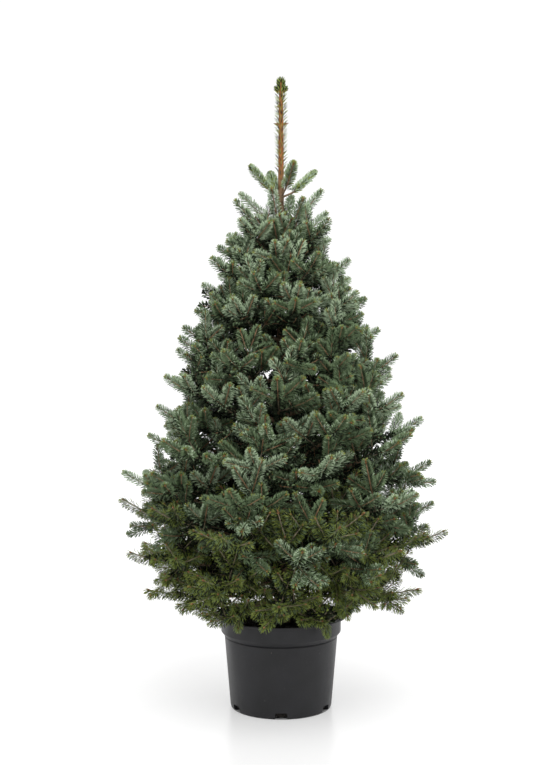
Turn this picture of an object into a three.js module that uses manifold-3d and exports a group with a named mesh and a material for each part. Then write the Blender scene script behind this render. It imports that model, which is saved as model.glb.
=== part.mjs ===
// A young Serbian spruce in its nursery pot, in millimetres, +Z up.
// The origin is the middle of the pot's flat underside, and the front faces -Y.

import * as THREE from 'three';
import { mergeVertices } from 'three/addons/utils/BufferGeometryUtils.js';
import Module from 'manifold-3d';

const wasm = await Module();
wasm.setup();

// Clearance between pieces that touch on the real plant
const GAP = 0.3;

// Pot: a tapered body, a wider rim band above it, and a thin lip that flares out at the top
const POT_HEIGHT = 196;
const POT_BASE_RADIUS = 108;
const POT_SHOULDER_RADIUS = 121;
const POT_SHOULDER_HEIGHT = 152;
const POT_WALL = 2.4;
const POT_FLOOR = 3;
const POT_BASE_ROUNDING = 5;
const POT_SIDES = 36;
const RIM_BAND_RADIUS = 128.6;
const RIM_BAND_BOTTOM = 161;
const RIM_BAND_TOP = 189;
const LIP_RADIUS = 140;
const LIP_THICKNESS = 2.6;

// Drain notches round the bottom edge, one of them at the front
const NOTCH_COUNT = 6;
const NOTCH_WIDTH = 25;
const NOTCH_HEIGHT = 13.5;
const NOTCH_DEPTH = 16;

// Soil: fills the pot and rises a little towards the trunk
const SOIL_EDGE_HEIGHT = 172;
const SOIL_MOUND = 6;
const SOIL_FLAT_RADIUS = 34;

// Trunk: one straight stem from the soil to its tip
const TRUNK_TIP_HEIGHT = 1336;
const TRUNK_FOOT_RADIUS = 14;
const TRUNK_TIP_RADIUS = 3.8;
const TRUNK_TAPER = 0.9;
const ROOT_FLARE = 7;
const ROOT_FLARE_HEIGHT = 16;
const TRUNK_SIDES = 12;
const TRUNK_STEPS = 24;
const TRUNK_FOOT_HEIGHT = SOIL_EDGE_HEIGHT + SOIL_MOUND + GAP;

// Leader: the bare top shoot, with short needles pressed upwards and a tuft at its tip
const LEADER_FOOT_HEIGHT = 1136;
const LEADER_TIP_HEIGHT = 1354;
const LEADER_SPRAY_RADIUS = 14;
const LEADER_SPRAY_TURN = 0.2;
const LEADER_SKIN = 1;
const LEADER_TIERS = 7;

// Crown outline: widest low down, tucked in under that, and drawn in to the top whorl
const WIDEST_HEIGHT = 400;
const WIDEST_RADIUS = 340;
const CROWN_TOP = 1140;
const TOP_RADIUS = 88;
const CROWN_CURVE = 1.25;
const SKIRT_DEPTH = 200;
const SKIRT_TUCK = 100;
const SKIRT_CURVE = 1.7;

// Whorls of boughs, counted from the lowest
const WHORL_COUNT = 10;
const LOWEST_WHORL = 248;
const TOP_WHORL = 1090;
const WIDE_WHORLS = 6;
const SPOKES_IN_WIDE_WHORL = 5;
const SPOKES_IN_HIGH_WHORL = 4;
const WHORL_TURN = THREE.MathUtils.degToRad(117);
const FRONT = THREE.MathUtils.degToRad(-90);
const SPOKE_SPREAD = 0.07;
const HEIGHT_SPREAD = 34;
const LOWEST_ASCENT = -8;
const TOP_ASCENT = 34;
const ASCENT_CURVE = 0.42;
const ASCENT_SPREAD = 4;
const FULL_REACH = 1.09;
const REACH_SPREAD = 0.1;
const BEND_PLACE = 0.55;
const BEND_SAG = 0.1;

// Limbs: the lowest boughs are bare wood as far as the mass that they carry
const LIMB_WHORLS = 2;
const LIMB_END = 0.42;
const LIMB_FOOT_SHARE = 1.35;
const LIMB_SIDES = 6;
const LIMB_STEPS = 5;
const STEM_SIDES = 3;
const STEM_STEPS = 4;
const STEM_SLENDERNESS = 75;
const STEM_TIP_SHARE = 0.35;

// Sprays: a slim core with tiers of needle points that lean towards the tip
const SPRAY_SIDES = 3;
const FEWEST_TIERS = 3;
const MOST_TIERS = 4;
const TIER_LENGTH = 27;
const SPRAY_CORE = 0.42;
const SPRAY_FOOT = 0.08;
const SPRAY_NECK = 0.14;
const SPRAY_TIP = 0.6;
const NEEDLE_LEAN = 0.15;
const SPRAY_SLENDERNESS = 3.9;
const SLIMMEST_SPRAY = 18;
const TIP_SHARE = 0.42;
const SHORTEST_SPRAY = 56;
const LONGEST_SPRAY = 126;
const NODE_SPACING = 74;
const NODE_SETBACK = 10;
const BARE_START = 96;
const BARE_SHARE = 0.25;
const LIMB_MARGIN = 10;
const SIDE_LENGTH = 0.92;
const SIDE_LENGTH_SPREAD = 0.12;
const SIDE_TURN = THREE.MathUtils.degToRad(56);
const SIDE_TURN_SPREAD = THREE.MathUtils.degToRad(8);
const SIDE_LIFT = THREE.MathUtils.degToRad(17);
const SIDE_LIFT_SPREAD = THREE.MathUtils.degToRad(20);
const TOP_LENGTH = 0.9;
const TOP_LIFT = THREE.MathUtils.degToRad(52);
const TOP_LIFT_SPREAD = THREE.MathUtils.degToRad(8);
const TOP_SPRAY_FROM_LENGTH = 110;
const TOP_SPRAY_PLACES = [0.7, 0.42];
const SPRAY_TRIES = [1, 0.86, 0.72, 0.58];
const SLIM_FOOT = 0.3;
const INTERLOCK = 0.75;
const OWN_CROWDING = 0.56;

// Colours and finishes
const POT_COLOUR = '#323234';
const POT_ROUGHNESS = 0.45;
const SOIL_COLOUR = '#1f1913';
const SOIL_ROUGHNESS = 0.95;
const BARK_COLOUR = '#5b4a3a';
const BARK_ROUGHNESS = 0.9;
const NEEDLE_ROUGHNESS = 0.8;
const LOW_NEEDLES = '#46542f';
const HIGH_NEEDLES = '#5a7a70';
const COLOUR_CLIMB = 0.45;

// Corners closer than these distances become one
const MERGE_DISTANCE = 1e-4;
const SLIVER = 0.05;
const FINE_DETAIL = [0.5, 0.35, 0.2, 0.1];
const UP = new THREE.Vector3(0, 0, 1);

// Seeded draws between 0 and 1, the same on every run
const RANDOM_FACTOR = 48271;
const RANDOM_MODULUS = 2147483647;
let randomState = 20261;

function random() {
  randomState = (randomState * RANDOM_FACTOR) % RANDOM_MODULUS;
  return randomState / RANDOM_MODULUS;
}

function spread(width) {
  return width * (2 * random() - 1);
}

// A closed three.js geometry as a solid that can be joined and cut
function toSolid(geometry) {
  geometry.deleteAttribute('normal');
  geometry.deleteAttribute('uv');
  const merged = mergeVertices(geometry, MERGE_DISTANCE);
  return new wasm.Manifold(new wasm.Mesh({
    numProp: 3,
    vertProperties: new Float32Array(merged.attributes.position.array),
    triVerts: new Uint32Array(merged.index.array),
  }));
}

// The largest body of a solid: scraps are dropped and sealed hollows are filled
function mainBody(solid) {
  return solid.decompose().reduce((a, b) => (b.volume() > a.volume() ? b : a));
}

// True where no two corners of a solid lie on one point
function hasCleanCorners(solid) {
  const { vertProperties } = solid.getMesh();
  const places = new Set();
  for (let i = 0; i < vertProperties.length; i += 3) {
    const corner = Array.from(vertProperties.slice(i, i + 3));
    places.add(corner.map((value) => value.toFixed(3)).join());
  }
  return places.size === vertProperties.length / 3;
}

function toGeometry(solid) {
  const { vertProperties, triVerts } = solid.getMesh();
  const geometry = new THREE.BufferGeometry();
  geometry.setAttribute('position', new THREE.BufferAttribute(vertProperties, 3));
  geometry.setIndex(new THREE.BufferAttribute(triVerts, 1));
  geometry.computeVertexNormals();
  return geometry;
}

function namedMesh(name, solid, material) {
  const mesh = new THREE.Mesh(toGeometry(solid), material);
  mesh.name = name;
  return mesh;
}

function turned(profile, sides) {
  const geometry = new THREE.LatheGeometry(profile, sides);
  return geometry.rotateX(Math.PI / 2);
}

// A limb of round section along a curve. It ends in a point, or in a flat cut.
function limb(curve, radiusAt, sides, steps, pointed) {
  const geometry = pointed
    ? new THREE.ConeGeometry(1, 1, sides, steps)
    : new THREE.CylinderGeometry(1, 1, 1, sides, steps);
  const { normals, binormals } = curve.computeFrenetFrames(steps);
  const position = geometry.attributes.position;
  const point = new THREE.Vector3();
  for (let i = 0; i < position.count; i += 1) {
    const ring = Math.round((position.getY(i) + 0.5) * steps);
    const across = new THREE.Vector2(position.getX(i), position.getZ(i)).normalize();
    across.multiplyScalar(radiusAt(ring / steps));
    point.copy(curve.getPointAt(ring / steps));
    point.addScaledVector(binormals[ring], across.x);
    point.addScaledVector(normals[ring], across.y);
    position.setXYZ(i, point.x, point.y, point.z);
  }
  return geometry;
}

// Pot

function potProfile() {
  const inset = POT_BASE_RADIUS - POT_BASE_ROUNDING;
  const rounding = new THREE.Path();
  rounding.absarc(inset, POT_BASE_ROUNDING, POT_BASE_ROUNDING, -Math.PI / 2, 0, false);
  const innerShoulder = POT_SHOULDER_RADIUS - POT_WALL;
  const innerBand = RIM_BAND_RADIUS - POT_WALL;
  return [
    new THREE.Vector2(0, 0),
    ...rounding.getPoints(2),
    new THREE.Vector2(POT_SHOULDER_RADIUS, POT_SHOULDER_HEIGHT),
    new THREE.Vector2(RIM_BAND_RADIUS, RIM_BAND_BOTTOM),
    new THREE.Vector2(RIM_BAND_RADIUS, RIM_BAND_TOP),
    new THREE.Vector2(LIP_RADIUS, POT_HEIGHT - LIP_THICKNESS),
    new THREE.Vector2(LIP_RADIUS, POT_HEIGHT),
    new THREE.Vector2(innerBand, POT_HEIGHT - LIP_THICKNESS),
    new THREE.Vector2(innerBand, RIM_BAND_BOTTOM + POT_WALL),
    new THREE.Vector2(innerShoulder, POT_SHOULDER_HEIGHT + POT_WALL),
    new THREE.Vector2(inset - POT_WALL, POT_FLOOR),
    new THREE.Vector2(0, POT_FLOOR),
  ];
}

function makePot() {
  let pot = toSolid(turned(potProfile(), POT_SIDES));
  for (let i = 0; i < NOTCH_COUNT; i += 1) {
    const notch = new THREE.BoxGeometry(2 * NOTCH_DEPTH, NOTCH_WIDTH, 2 * NOTCH_HEIGHT);
    notch.translate(POT_BASE_RADIUS, 0, 0);
    notch.rotateZ(FRONT + (2 * Math.PI * i) / NOTCH_COUNT);
    pot = pot.subtract(toSolid(notch));
  }
  const material = new THREE.MeshStandardMaterial({ color: POT_COLOUR, roughness: POT_ROUGHNESS });
  return namedMesh('pot', pot, material);
}

function makeSoil() {
  const wallAt = (height) => {
    const inset = POT_BASE_RADIUS - POT_BASE_ROUNDING;
    const climb = (height - POT_FLOOR) / (POT_SHOULDER_HEIGHT - POT_FLOOR);
    return THREE.MathUtils.lerp(inset, POT_SHOULDER_RADIUS, climb) - POT_WALL - 2 * GAP;
  };
  const bottom = POT_FLOOR + GAP;
  const edge = wallAt(POT_SHOULDER_HEIGHT);
  const crest = SOIL_EDGE_HEIGHT + SOIL_MOUND;
  const profile = [
    new THREE.Vector2(0, bottom),
    new THREE.Vector2(wallAt(bottom), bottom),
    new THREE.Vector2(edge, POT_SHOULDER_HEIGHT),
    new THREE.Vector2(edge, SOIL_EDGE_HEIGHT),
    new THREE.Vector2(SOIL_FLAT_RADIUS, crest),
    new THREE.Vector2(0, crest),
  ];
  const material = new THREE.MeshStandardMaterial({ color: SOIL_COLOUR, roughness: SOIL_ROUGHNESS });
  return namedMesh('soil', toSolid(turned(profile, POT_SIDES)), material);
}

// Trunk and leader

function trunkRadius(height) {
  const climb = (height - TRUNK_FOOT_HEIGHT) / (TRUNK_TIP_HEIGHT - TRUNK_FOOT_HEIGHT);
  const taper = THREE.MathUtils.lerp(TRUNK_FOOT_RADIUS, TRUNK_TIP_RADIUS, climb ** TRUNK_TAPER);
  return taper + ROOT_FLARE * Math.exp((TRUNK_FOOT_HEIGHT - height) / ROOT_FLARE_HEIGHT);
}

function uprightLine(bottom, top) {
  return new THREE.LineCurve3(new THREE.Vector3(0, 0, bottom), new THREE.Vector3(0, 0, top));
}

function trunkSolid(extra) {
  const line = uprightLine(TRUNK_FOOT_HEIGHT, TRUNK_TIP_HEIGHT + extra);
  const height = TRUNK_TIP_HEIGHT - TRUNK_FOOT_HEIGHT;
  const radiusAt = (share) => trunkRadius(TRUNK_FOOT_HEIGHT + share * height) + extra;
  return toSolid(limb(line, radiusAt, TRUNK_SIDES, TRUNK_STEPS, false));
}

// The room that every mass and limb leaves round the trunk
const trunkRoom = trunkSolid(GAP);

function makeLeaderSpray() {
  const length = LEADER_TIP_HEIGHT - LEADER_FOOT_HEIGHT;
  const sleeveTop = TRUNK_TIP_HEIGHT + LEADER_SKIN;
  const line = uprightLine(LEADER_FOOT_HEIGHT, sleeveTop);
  const radiusAt = (share) => {
    return trunkRadius(LEADER_FOOT_HEIGHT + share * (sleeveTop - LEADER_FOOT_HEIGHT)) + LEADER_SKIN;
  };
  const sleeve = toSolid(limb(line, radiusAt, TRUNK_SIDES / 2, 1, false));
  const brush = spray(length, LEADER_SPRAY_RADIUS, LEADER_TIERS);
  brush.rotateX(Math.PI / 2);
  brush.rotateZ(LEADER_SPRAY_TURN);
  brush.translate(0, 0, LEADER_FOOT_HEIGHT);
  return mainBody(sleeve.add(toSolid(brush)).subtract(trunkRoom).simplify(SLIVER));
}

// Crown

function crownRadius(height) {
  if (height < WIDEST_HEIGHT) {
    const drop = (WIDEST_HEIGHT - height) / SKIRT_DEPTH;
    return WIDEST_RADIUS - SKIRT_TUCK * drop ** SKIRT_CURVE;
  }
  const climb = (height - WIDEST_HEIGHT) / (CROWN_TOP - WIDEST_HEIGHT);
  return TOP_RADIUS + (WIDEST_RADIUS - TOP_RADIUS) * (1 - climb ** CROWN_CURVE);
}

// Whorls stand closer together at both ends of the crown
function whorlHeight(share) {
  const eased = THREE.MathUtils.smoothstep(share, 0, 1);
  return THREE.MathUtils.lerp(LOWEST_WHORL, TOP_WHORL, (share + eased) / 2);
}

function spokesIn(whorl) {
  return whorl < WIDE_WHORLS ? SPOKES_IN_WIDE_WHORL : SPOKES_IN_HIGH_WHORL;
}

// One bough's line: out from the trunk, sagging a little, with its tip turned up
function planBough(whorl, spoke) {
  const share = whorl / (WHORL_COUNT - 1);
  const midCrown = 4 * share * (1 - share);
  const height = whorlHeight(share) + spread(HEIGHT_SPREAD) * midCrown;
  const place = (spoke + 0.5 + spread(SPOKE_SPREAD)) / spokesIn(whorl);
  const azimuth = FRONT + WHORL_TURN * whorl + 2 * Math.PI * place;
  const climb = share ** ASCENT_CURVE;
  const ascent = THREE.MathUtils.lerp(LOWEST_ASCENT, TOP_ASCENT, climb) + spread(ASCENT_SPREAD);
  const slope = Math.tan(THREE.MathUtils.degToRad(ascent));
  const firstReach = crownRadius(height);
  const reach = crownRadius(height + firstReach * slope) * (FULL_REACH - REACH_SPREAD * random());
  const out = new THREE.Vector3(Math.cos(azimuth), Math.sin(azimuth), 0);
  const pointAt = (distance, lift) => {
    return out.clone().multiplyScalar(distance).addScaledVector(UP, height + lift);
  };
  const curve = new THREE.QuadraticBezierCurve3(
    pointAt(0, 0),
    pointAt(BEND_PLACE * reach, BEND_PLACE * reach * slope - BEND_SAG * reach),
    pointAt(reach, reach * slope),
  );
  const length = curve.getLength();
  return {
    id: `${whorl + 1}_${spoke + 1}`,
    share,
    curve,
    length,
    side: new THREE.Vector3().crossVectors(UP, out),
    stemRadius: length / STEM_SLENDERNESS + 1,
    hasLimb: whorl < LIMB_WHORLS,
    sprays: [],
  };
}

// The stretch of a bough's curve between two shares of its length
function stretch(curve, from, to) {
  const a = curve.getUtoTmapping(from);
  const b = curve.getUtoTmapping(to);
  const bend = curve.v0.clone().multiplyScalar((1 - a) * (1 - b));
  bend.addScaledVector(curve.v1, a * (1 - b) + b * (1 - a));
  bend.addScaledVector(curve.v2, a * b);
  return new THREE.QuadraticBezierCurve3(curve.getPoint(a), bend, curve.getPoint(b));
}

// Where a bough could carry sprays, in the order that they are tried
function spraySites(bough) {
  const tipLength = THREE.MathUtils.clamp(bough.length * TIP_SHARE, SHORTEST_SPRAY, LONGEST_SPRAY);
  const sites = [{ round: 0, place: 1 - tipLength / bough.length, turn: 0, lift: 0, length: tipLength }];
  const firstNode = tipLength + NODE_SETBACK;
  const pairs = Math.max(1, Math.ceil((bough.length - firstNode - BARE_START) / NODE_SPACING));
  for (let pair = 0; pair < pairs; pair += 1) {
    const fromTip = firstNode + pair * NODE_SPACING;
    for (const hand of [-1, 1]) {
      sites.push({
        round: 1 + pair,
        place: 1 - fromTip / bough.length,
        turn: hand * (SIDE_TURN + spread(SIDE_TURN_SPREAD)),
        lift: SIDE_LIFT + spread(SIDE_LIFT_SPREAD),
        length: tipLength * (SIDE_LENGTH - SIDE_LENGTH_SPREAD * random()),
      });
    }
  }
  if (bough.length > TOP_SPRAY_FROM_LENGTH) {
    for (const place of TOP_SPRAY_PLACES) {
      sites.push({
        round: 1 + pairs,
        place,
        lift: TOP_LIFT + spread(TOP_LIFT_SPREAD),
        turn: spread(SIDE_TURN),
        length: tipLength * TOP_LENGTH,
      });
    }
  }
  const bare = bough.hasLimb ? LIMB_END + LIMB_MARGIN / bough.length : BARE_SHARE;
  return sites.filter((site) => site.place > bare);
}

// A spray at one site, or a shorter one at the same site
function placeSpray(bough, site, size) {
  const foot = bough.curve.getPointAt(site.place);
  const ahead = bough.curve.getTangentAt(site.place);
  const above = new THREE.Vector3().crossVectors(ahead, bough.side);
  const direction = ahead.multiplyScalar(Math.cos(site.turn));
  direction.addScaledVector(bough.side, Math.sin(site.turn));
  direction.multiplyScalar(Math.cos(site.lift)).addScaledVector(above, Math.sin(site.lift));
  const length = site.length * size;
  const radius = Math.max(SLIMMEST_SPRAY, length / SPRAY_SLENDERNESS);
  const pointAt = (share) => foot.clone().addScaledVector(direction, length * share);
  const line = new THREE.Line3(pointAt(SLIM_FOOT), pointAt(1));
  const solid = spraySolid(foot, direction, length, radius);
  return { owner: bough.id, foot, length, radius, line, solid };
}

function insideCrown(item) {
  const tip = item.line.end;
  return Math.hypot(tip.x, tip.y) <= crownRadius(Math.max(tip.z, POT_HEIGHT)) * FULL_REACH;
}

function clearOfPot(item) {
  return [item.line.start, item.line.end].every((point) => {
    const outside = Math.hypot(point.x, point.y) - item.radius - GAP > LIP_RADIUS;
    return outside || point.z - item.radius - GAP > POT_HEIGHT;
  });
}

// Two sprays may pass so close that their needle points interlock
function clearOf(item, others) {
  return others.every((other) => {
    const distance = Math.sqrt(item.line.distanceSqToLine3(other.line));
    const room = item.radius + other.radius;
    if (other.owner === item.owner) {
      return !other.solid || distance > room * OWN_CROWDING;
    }
    if (distance > room + GAP || !other.solid) {
      return distance > room + GAP;
    }
    return distance > room * INTERLOCK && item.solid.minGap(other.solid, GAP) >= GAP;
  });
}

// Stems, limbs and the trunk as thick lines, which no other mass may touch
function woodLines(boughs) {
  const lines = [];
  const addLines = (points, ownerAt, radiusAt) => {
    for (let i = 1; i < points.length; i += 1) {
      const line = new THREE.Line3(points[i - 1], points[i]);
      lines.push({ owner: ownerAt(i / points.length), line, radius: radiusAt(points[i - 1]) });
    }
  };
  const trunk = uprightLine(TRUNK_FOOT_HEIGHT, LEADER_TIP_HEIGHT).getSpacedPoints(TRUNK_STEPS);
  addLines(trunk, () => 'trunk', (point) => trunkRadius(point.z));
  for (const bough of boughs) {
    const onLimb = (share) => bough.hasLimb && share <= LIMB_END;
    const ownerAt = (share) => (onLimb(share) ? `limb ${bough.id}` : bough.id);
    addLines(bough.curve.getSpacedPoints(2 * STEM_STEPS), ownerAt, () => bough.stemRadius);
  }
  return lines;
}

// Sprays are given out by rounds, tips first, so that no bough crowds out its neighbours
function growSprays(boughs) {
  const taken = woodLines(boughs);
  const sites = boughs.flatMap((bough) => spraySites(bough).map((site) => ({ bough, site })));
  sites.sort((a, b) => a.site.round - b.site.round);
  for (const { bough, site } of sites) {
    const fits = (item) => insideCrown(item) && clearOfPot(item) && clearOf(item, taken);
    const found = SPRAY_TRIES.map((size) => placeSpray(bough, site, size)).find(fits);
    if (found) {
      bough.sprays.push(found);
      taken.push(found);
    }
  }
}

// A spray of needles along +Y
function spray(length, radius, tiers) {
  const rings = 2 * tiers;
  const geometry = new THREE.ConeGeometry(1, 1, SPRAY_SIDES, rings);
  const position = geometry.attributes.position;
  const neck = length * SPRAY_NECK;
  const pitch = (length - neck) / (tiers + SPRAY_TIP);
  for (let i = 0; i < position.count; i += 1) {
    const ring = Math.round((position.getY(i) + 0.5) * rings);
    const tier = Math.floor(ring / 2);
    const onPoints = ring % 2 === 1;
    const fullness = Math.cos((tier / tiers) ** 2);
    const core = ring === 0 ? SPRAY_FOOT : SPRAY_CORE;
    const reach = radius * (onPoints ? fullness : core);
    const step = onPoints ? tier + 1 + NEEDLE_LEAN : tier;
    const ends = { 0: 0, [rings]: length };
    const along = ends[ring] ?? neck + pitch * step;
    const across = new THREE.Vector2(position.getX(i), position.getZ(i)).normalize();
    across.multiplyScalar(reach).rotateAround(new THREE.Vector2(), tier * Math.PI / SPRAY_SIDES);
    position.setXYZ(i, across.x, along, across.y);
  }
  return geometry;
}

function spraySolid(foot, direction, length, radius) {
  const tiers = THREE.MathUtils.clamp(Math.round(length / TIER_LENGTH), FEWEST_TIERS, MOST_TIERS);
  const geometry = spray(length, radius, tiers);
  const alongY = new THREE.Vector3(0, 1, 0);
  geometry.applyQuaternion(new THREE.Quaternion().setFromUnitVectors(alongY, direction));
  geometry.translate(foot.x, foot.y, foot.z);
  return toSolid(geometry);
}

// A mass of foliage: one tapering stem with its sprays fused on
function massSolid(bough) {
  const from = bough.hasLimb ? LIMB_END + GAP / bough.length : 0;
  const tipLength = bough.sprays.length > 0 ? bough.sprays[0].length : 0;
  const to = 1 - (tipLength * (1 - SPRAY_NECK)) / bough.length;
  const radiusAt = (share) => {
    const place = THREE.MathUtils.lerp(from, to, share);
    return bough.stemRadius * THREE.MathUtils.lerp(1, STEM_TIP_SHARE, place);
  };
  const line = stretch(bough.curve, from, to);
  const stem = toSolid(limb(line, radiusAt, STEM_SIDES, STEM_STEPS, true));
  const joined = wasm.Manifold.union([stem, ...bough.sprays.map((item) => item.solid)]);
  const clearOfTrunk = (solid) => mainBody(mainBody(solid).subtract(trunkRoom));
  const smoothed = FINE_DETAIL.map((size) => clearOfTrunk(joined.simplify(size)));
  return smoothed.find(hasCleanCorners) ?? clearOfTrunk(joined);
}

function limbSolid(bough) {
  const radiusAt = (share) => bough.stemRadius * THREE.MathUtils.lerp(LIMB_FOOT_SHARE, 1, share);
  const line = stretch(bough.curve, 0, LIMB_END);
  const solid = toSolid(limb(line, radiusAt, LIMB_SIDES, LIMB_STEPS, false));
  return mainBody(solid.subtract(trunkRoom));
}

function needleMaterial(share) {
  const colour = new THREE.Color(LOW_NEEDLES);
  colour.lerp(new THREE.Color(HIGH_NEEDLES), Math.min(1, share / COLOUR_CLIMB));
  return new THREE.MeshStandardMaterial({ color: colour, roughness: NEEDLE_ROUGHNESS, flatShading: true });
}

function planCrown() {
  const boughs = [];
  for (let whorl = 0; whorl < WHORL_COUNT; whorl += 1) {
    for (let spoke = 0; spoke < spokesIn(whorl); spoke += 1) {
      boughs.push(planBough(whorl, spoke));
    }
  }
  growSprays(boughs);
  return boughs;
}

function makeTree() {
  const tree = new THREE.Group();
  const bark = new THREE.MeshStandardMaterial({ color: BARK_COLOUR, roughness: BARK_ROUGHNESS });
  tree.add(namedMesh('trunk', trunkSolid(0), bark));
  tree.add(namedMesh('leader_spray', makeLeaderSpray(), needleMaterial(1)));
  for (const bough of planCrown()) {
    tree.add(namedMesh(`foliage_${bough.id}`, massSolid(bough), needleMaterial(bough.share)));
    if (bough.hasLimb) {
      tree.add(namedMesh(`bough_${bough.id}`, limbSolid(bough), bark));
    }
  }
  return tree;
}

const plant = new THREE.Group();
plant.add(makePot(), makeSoil(), makeTree());

export default plant;
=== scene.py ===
# %% [markdown]
# # A Serbian spruce in its nursery pot
# The frame holds the plant as plain solids at their real size, in metres, with the middle of the pot's
# underside at the origin and the front towards -Y. This lesson dresses those solids: a moulded pot, compost,
# bark, and a crown that grows by the same rule as the solids, but down to single needles.

# %% Load the frame
import math
from dataclasses import dataclass

import bmesh
import bpy
import numpy as np
from mathutils import Matrix, Vector, noise


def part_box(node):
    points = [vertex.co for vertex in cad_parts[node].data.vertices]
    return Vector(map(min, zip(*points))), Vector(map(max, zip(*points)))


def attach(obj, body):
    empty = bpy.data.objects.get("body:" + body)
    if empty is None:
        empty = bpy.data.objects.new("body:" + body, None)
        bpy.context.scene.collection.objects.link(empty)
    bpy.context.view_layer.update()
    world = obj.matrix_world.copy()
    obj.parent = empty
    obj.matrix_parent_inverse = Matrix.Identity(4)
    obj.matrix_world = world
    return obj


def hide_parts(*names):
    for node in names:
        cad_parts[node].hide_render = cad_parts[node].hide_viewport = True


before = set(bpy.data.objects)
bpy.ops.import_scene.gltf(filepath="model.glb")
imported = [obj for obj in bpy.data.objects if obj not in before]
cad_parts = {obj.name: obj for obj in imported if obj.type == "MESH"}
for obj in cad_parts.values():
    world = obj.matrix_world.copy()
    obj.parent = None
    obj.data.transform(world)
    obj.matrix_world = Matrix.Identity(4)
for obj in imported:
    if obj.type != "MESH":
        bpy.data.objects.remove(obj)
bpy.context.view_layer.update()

scene = bpy.context.scene

# %% [markdown]
# ## Camera
# The pot's rim and underside show as ellipses, and their roundness tells how far away and how high the
# camera stood. A lens of 50 mm from 2.3 m, level with the middle of the tree, gives those ellipses. The
# camera looks straight ahead, so that upright lines stay upright in the picture.

# %% Camera
CAMERA_LENS = 50.0
CAMERA_SENSOR = 36.0
CAMERA_PLACE = (-0.0108, -2.287, 0.692)

camera = bpy.data.objects.new("camera", bpy.data.cameras.new("camera"))
camera.data.lens = CAMERA_LENS
camera.data.sensor_width = CAMERA_SENSOR
camera.location = CAMERA_PLACE
camera.rotation_euler = (math.pi / 2, 0, 0)
scene.collection.objects.link(camera)
scene.camera = camera
print("camera at", CAMERA_PLACE, "with a lens of", CAMERA_LENS, "mm")

# %% [markdown]
# ## Studio
# The plant stands in a white studio. Many lamps could make that, but a white world lights it evenly from all
# round and gives the pot its pale edges. One large soft light above the camera then makes the tops of the
# shoots brighter than the deep places between them. The colours are shown as they are, so that white stays
# white.

# %% Studio light
WHITE = (1, 1, 1, 1)
WORLD_STRENGTH = 1.06
SOFTBOX_SIZE, SOFTBOX_POWER = 2.4, 60
SOFTBOX_PLACE, SOFTBOX_TARGET = (0.3, -1.6, 3.0), (0, 0, 0.6)

scene.view_settings.view_transform = "Standard"
world = bpy.data.worlds.new("white_studio")
world.use_nodes = True
background = world.node_tree.nodes["Background"]
background.inputs["Color"].default_value = WHITE
background.inputs["Strength"].default_value = WORLD_STRENGTH
scene.world = world

softbox = bpy.data.objects.new("softbox_above", bpy.data.lights.new("softbox_above", "AREA"))
softbox.data.shape = "DISK"
softbox.data.size = SOFTBOX_SIZE
softbox.data.energy = SOFTBOX_POWER
softbox.location = SOFTBOX_PLACE
aim = Vector(SOFTBOX_TARGET) - Vector(SOFTBOX_PLACE)
softbox.rotation_euler = aim.to_track_quat("-Z", "Y").to_euler()
scene.collection.objects.link(softbox)
print("softbox of", SOFTBOX_SIZE, "m at", SOFTBOX_PLACE)

# %% [markdown]
# ## Helpers for pieces
# Each finished piece rides on the plant's one body, and may stand for some of the frame's solids, which it
# then hides. Curved meshes are shaded smooth up to an angle, so that real edges stay crisp and no edge has
# to be marked by hand.

# %% Helpers for pieces
SHARP_ANGLE = math.radians(38)
MERGE_DISTANCE = 1e-6


def add_object(name, mesh, material):
    mesh.materials.append(material)
    made = bpy.data.objects.new(name, mesh)
    scene.collection.objects.link(made)
    return made


def add_piece(name, mesh, material, slot, *nodes):
    piece = add_object(name, mesh, material)
    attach(piece, "root")
    if nodes:
        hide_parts(*nodes)
    print(name, "has", len(mesh.polygons), "faces")


def shade(mesh):
    """Smooth shading that keeps the sharp edges."""
    mesh.shade_smooth()
    mesh.set_sharp_from_angle(angle=SHARP_ANGLE)


def close_seams(bm):
    bmesh.ops.remove_doubles(bm, verts=bm.verts, dist=MERGE_DISTANCE)
    bmesh.ops.recalc_face_normals(bm, faces=bm.faces)


def mesh_from(bm, name):
    close_seams(bm)
    mesh = bpy.data.meshes.new(name)
    bm.to_mesh(mesh)
    bm.free()
    shade(mesh)
    return mesh


print("edges of more than", round(math.degrees(SHARP_ANGLE)), "degrees stay crisp")

# %% [markdown]
# ## Mottling
# No real surface has one even colour. Plastic, compost, bark and needles all need some mottling, only with
# another grain and strength. So it is one node group, placed in every material with its own values. It reads
# Object coordinates, which stay put on the piece.

# %% Mottling group
MOTTLE_DETAIL = 4
MOTTLE_INPUTS = (("Scale", "Float"), ("Stretch", "Vector"), ("Low", "Float"), ("High", "Float"))


def make_mottle():
    """Noise between 0 and 1 over the surface, with its contrast set by a low and a high value."""
    group = bpy.data.node_groups.new("mottle", "ShaderNodeTree")
    for name, kind in MOTTLE_INPUTS:
        group.interface.new_socket(name, in_out="INPUT", socket_type=f"NodeSocket{kind}")
    group.interface.new_socket("Value", in_out="OUTPUT", socket_type="NodeSocketFloat")
    start = group.nodes.new("NodeGroupInput")
    end = group.nodes.new("NodeGroupOutput")
    place = group.nodes.new("ShaderNodeTexCoord")
    mapping = group.nodes.new("ShaderNodeMapping")
    texture = group.nodes.new("ShaderNodeTexNoise")
    texture.inputs["Detail"].default_value = MOTTLE_DETAIL
    remap = group.nodes.new("ShaderNodeMapRange")
    link = group.links.new
    link(place.outputs["Object"], mapping.inputs["Vector"])
    link(start.outputs["Stretch"], mapping.inputs["Scale"])
    link(mapping.outputs["Vector"], texture.inputs["Vector"])
    link(start.outputs["Scale"], texture.inputs["Scale"])
    link(texture.outputs["Fac"], remap.inputs["Value"])
    link(start.outputs["Low"], remap.inputs["From Min"])
    link(start.outputs["High"], remap.inputs["From Max"])
    link(remap.outputs["Result"], end.inputs["Value"])
    return group


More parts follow.
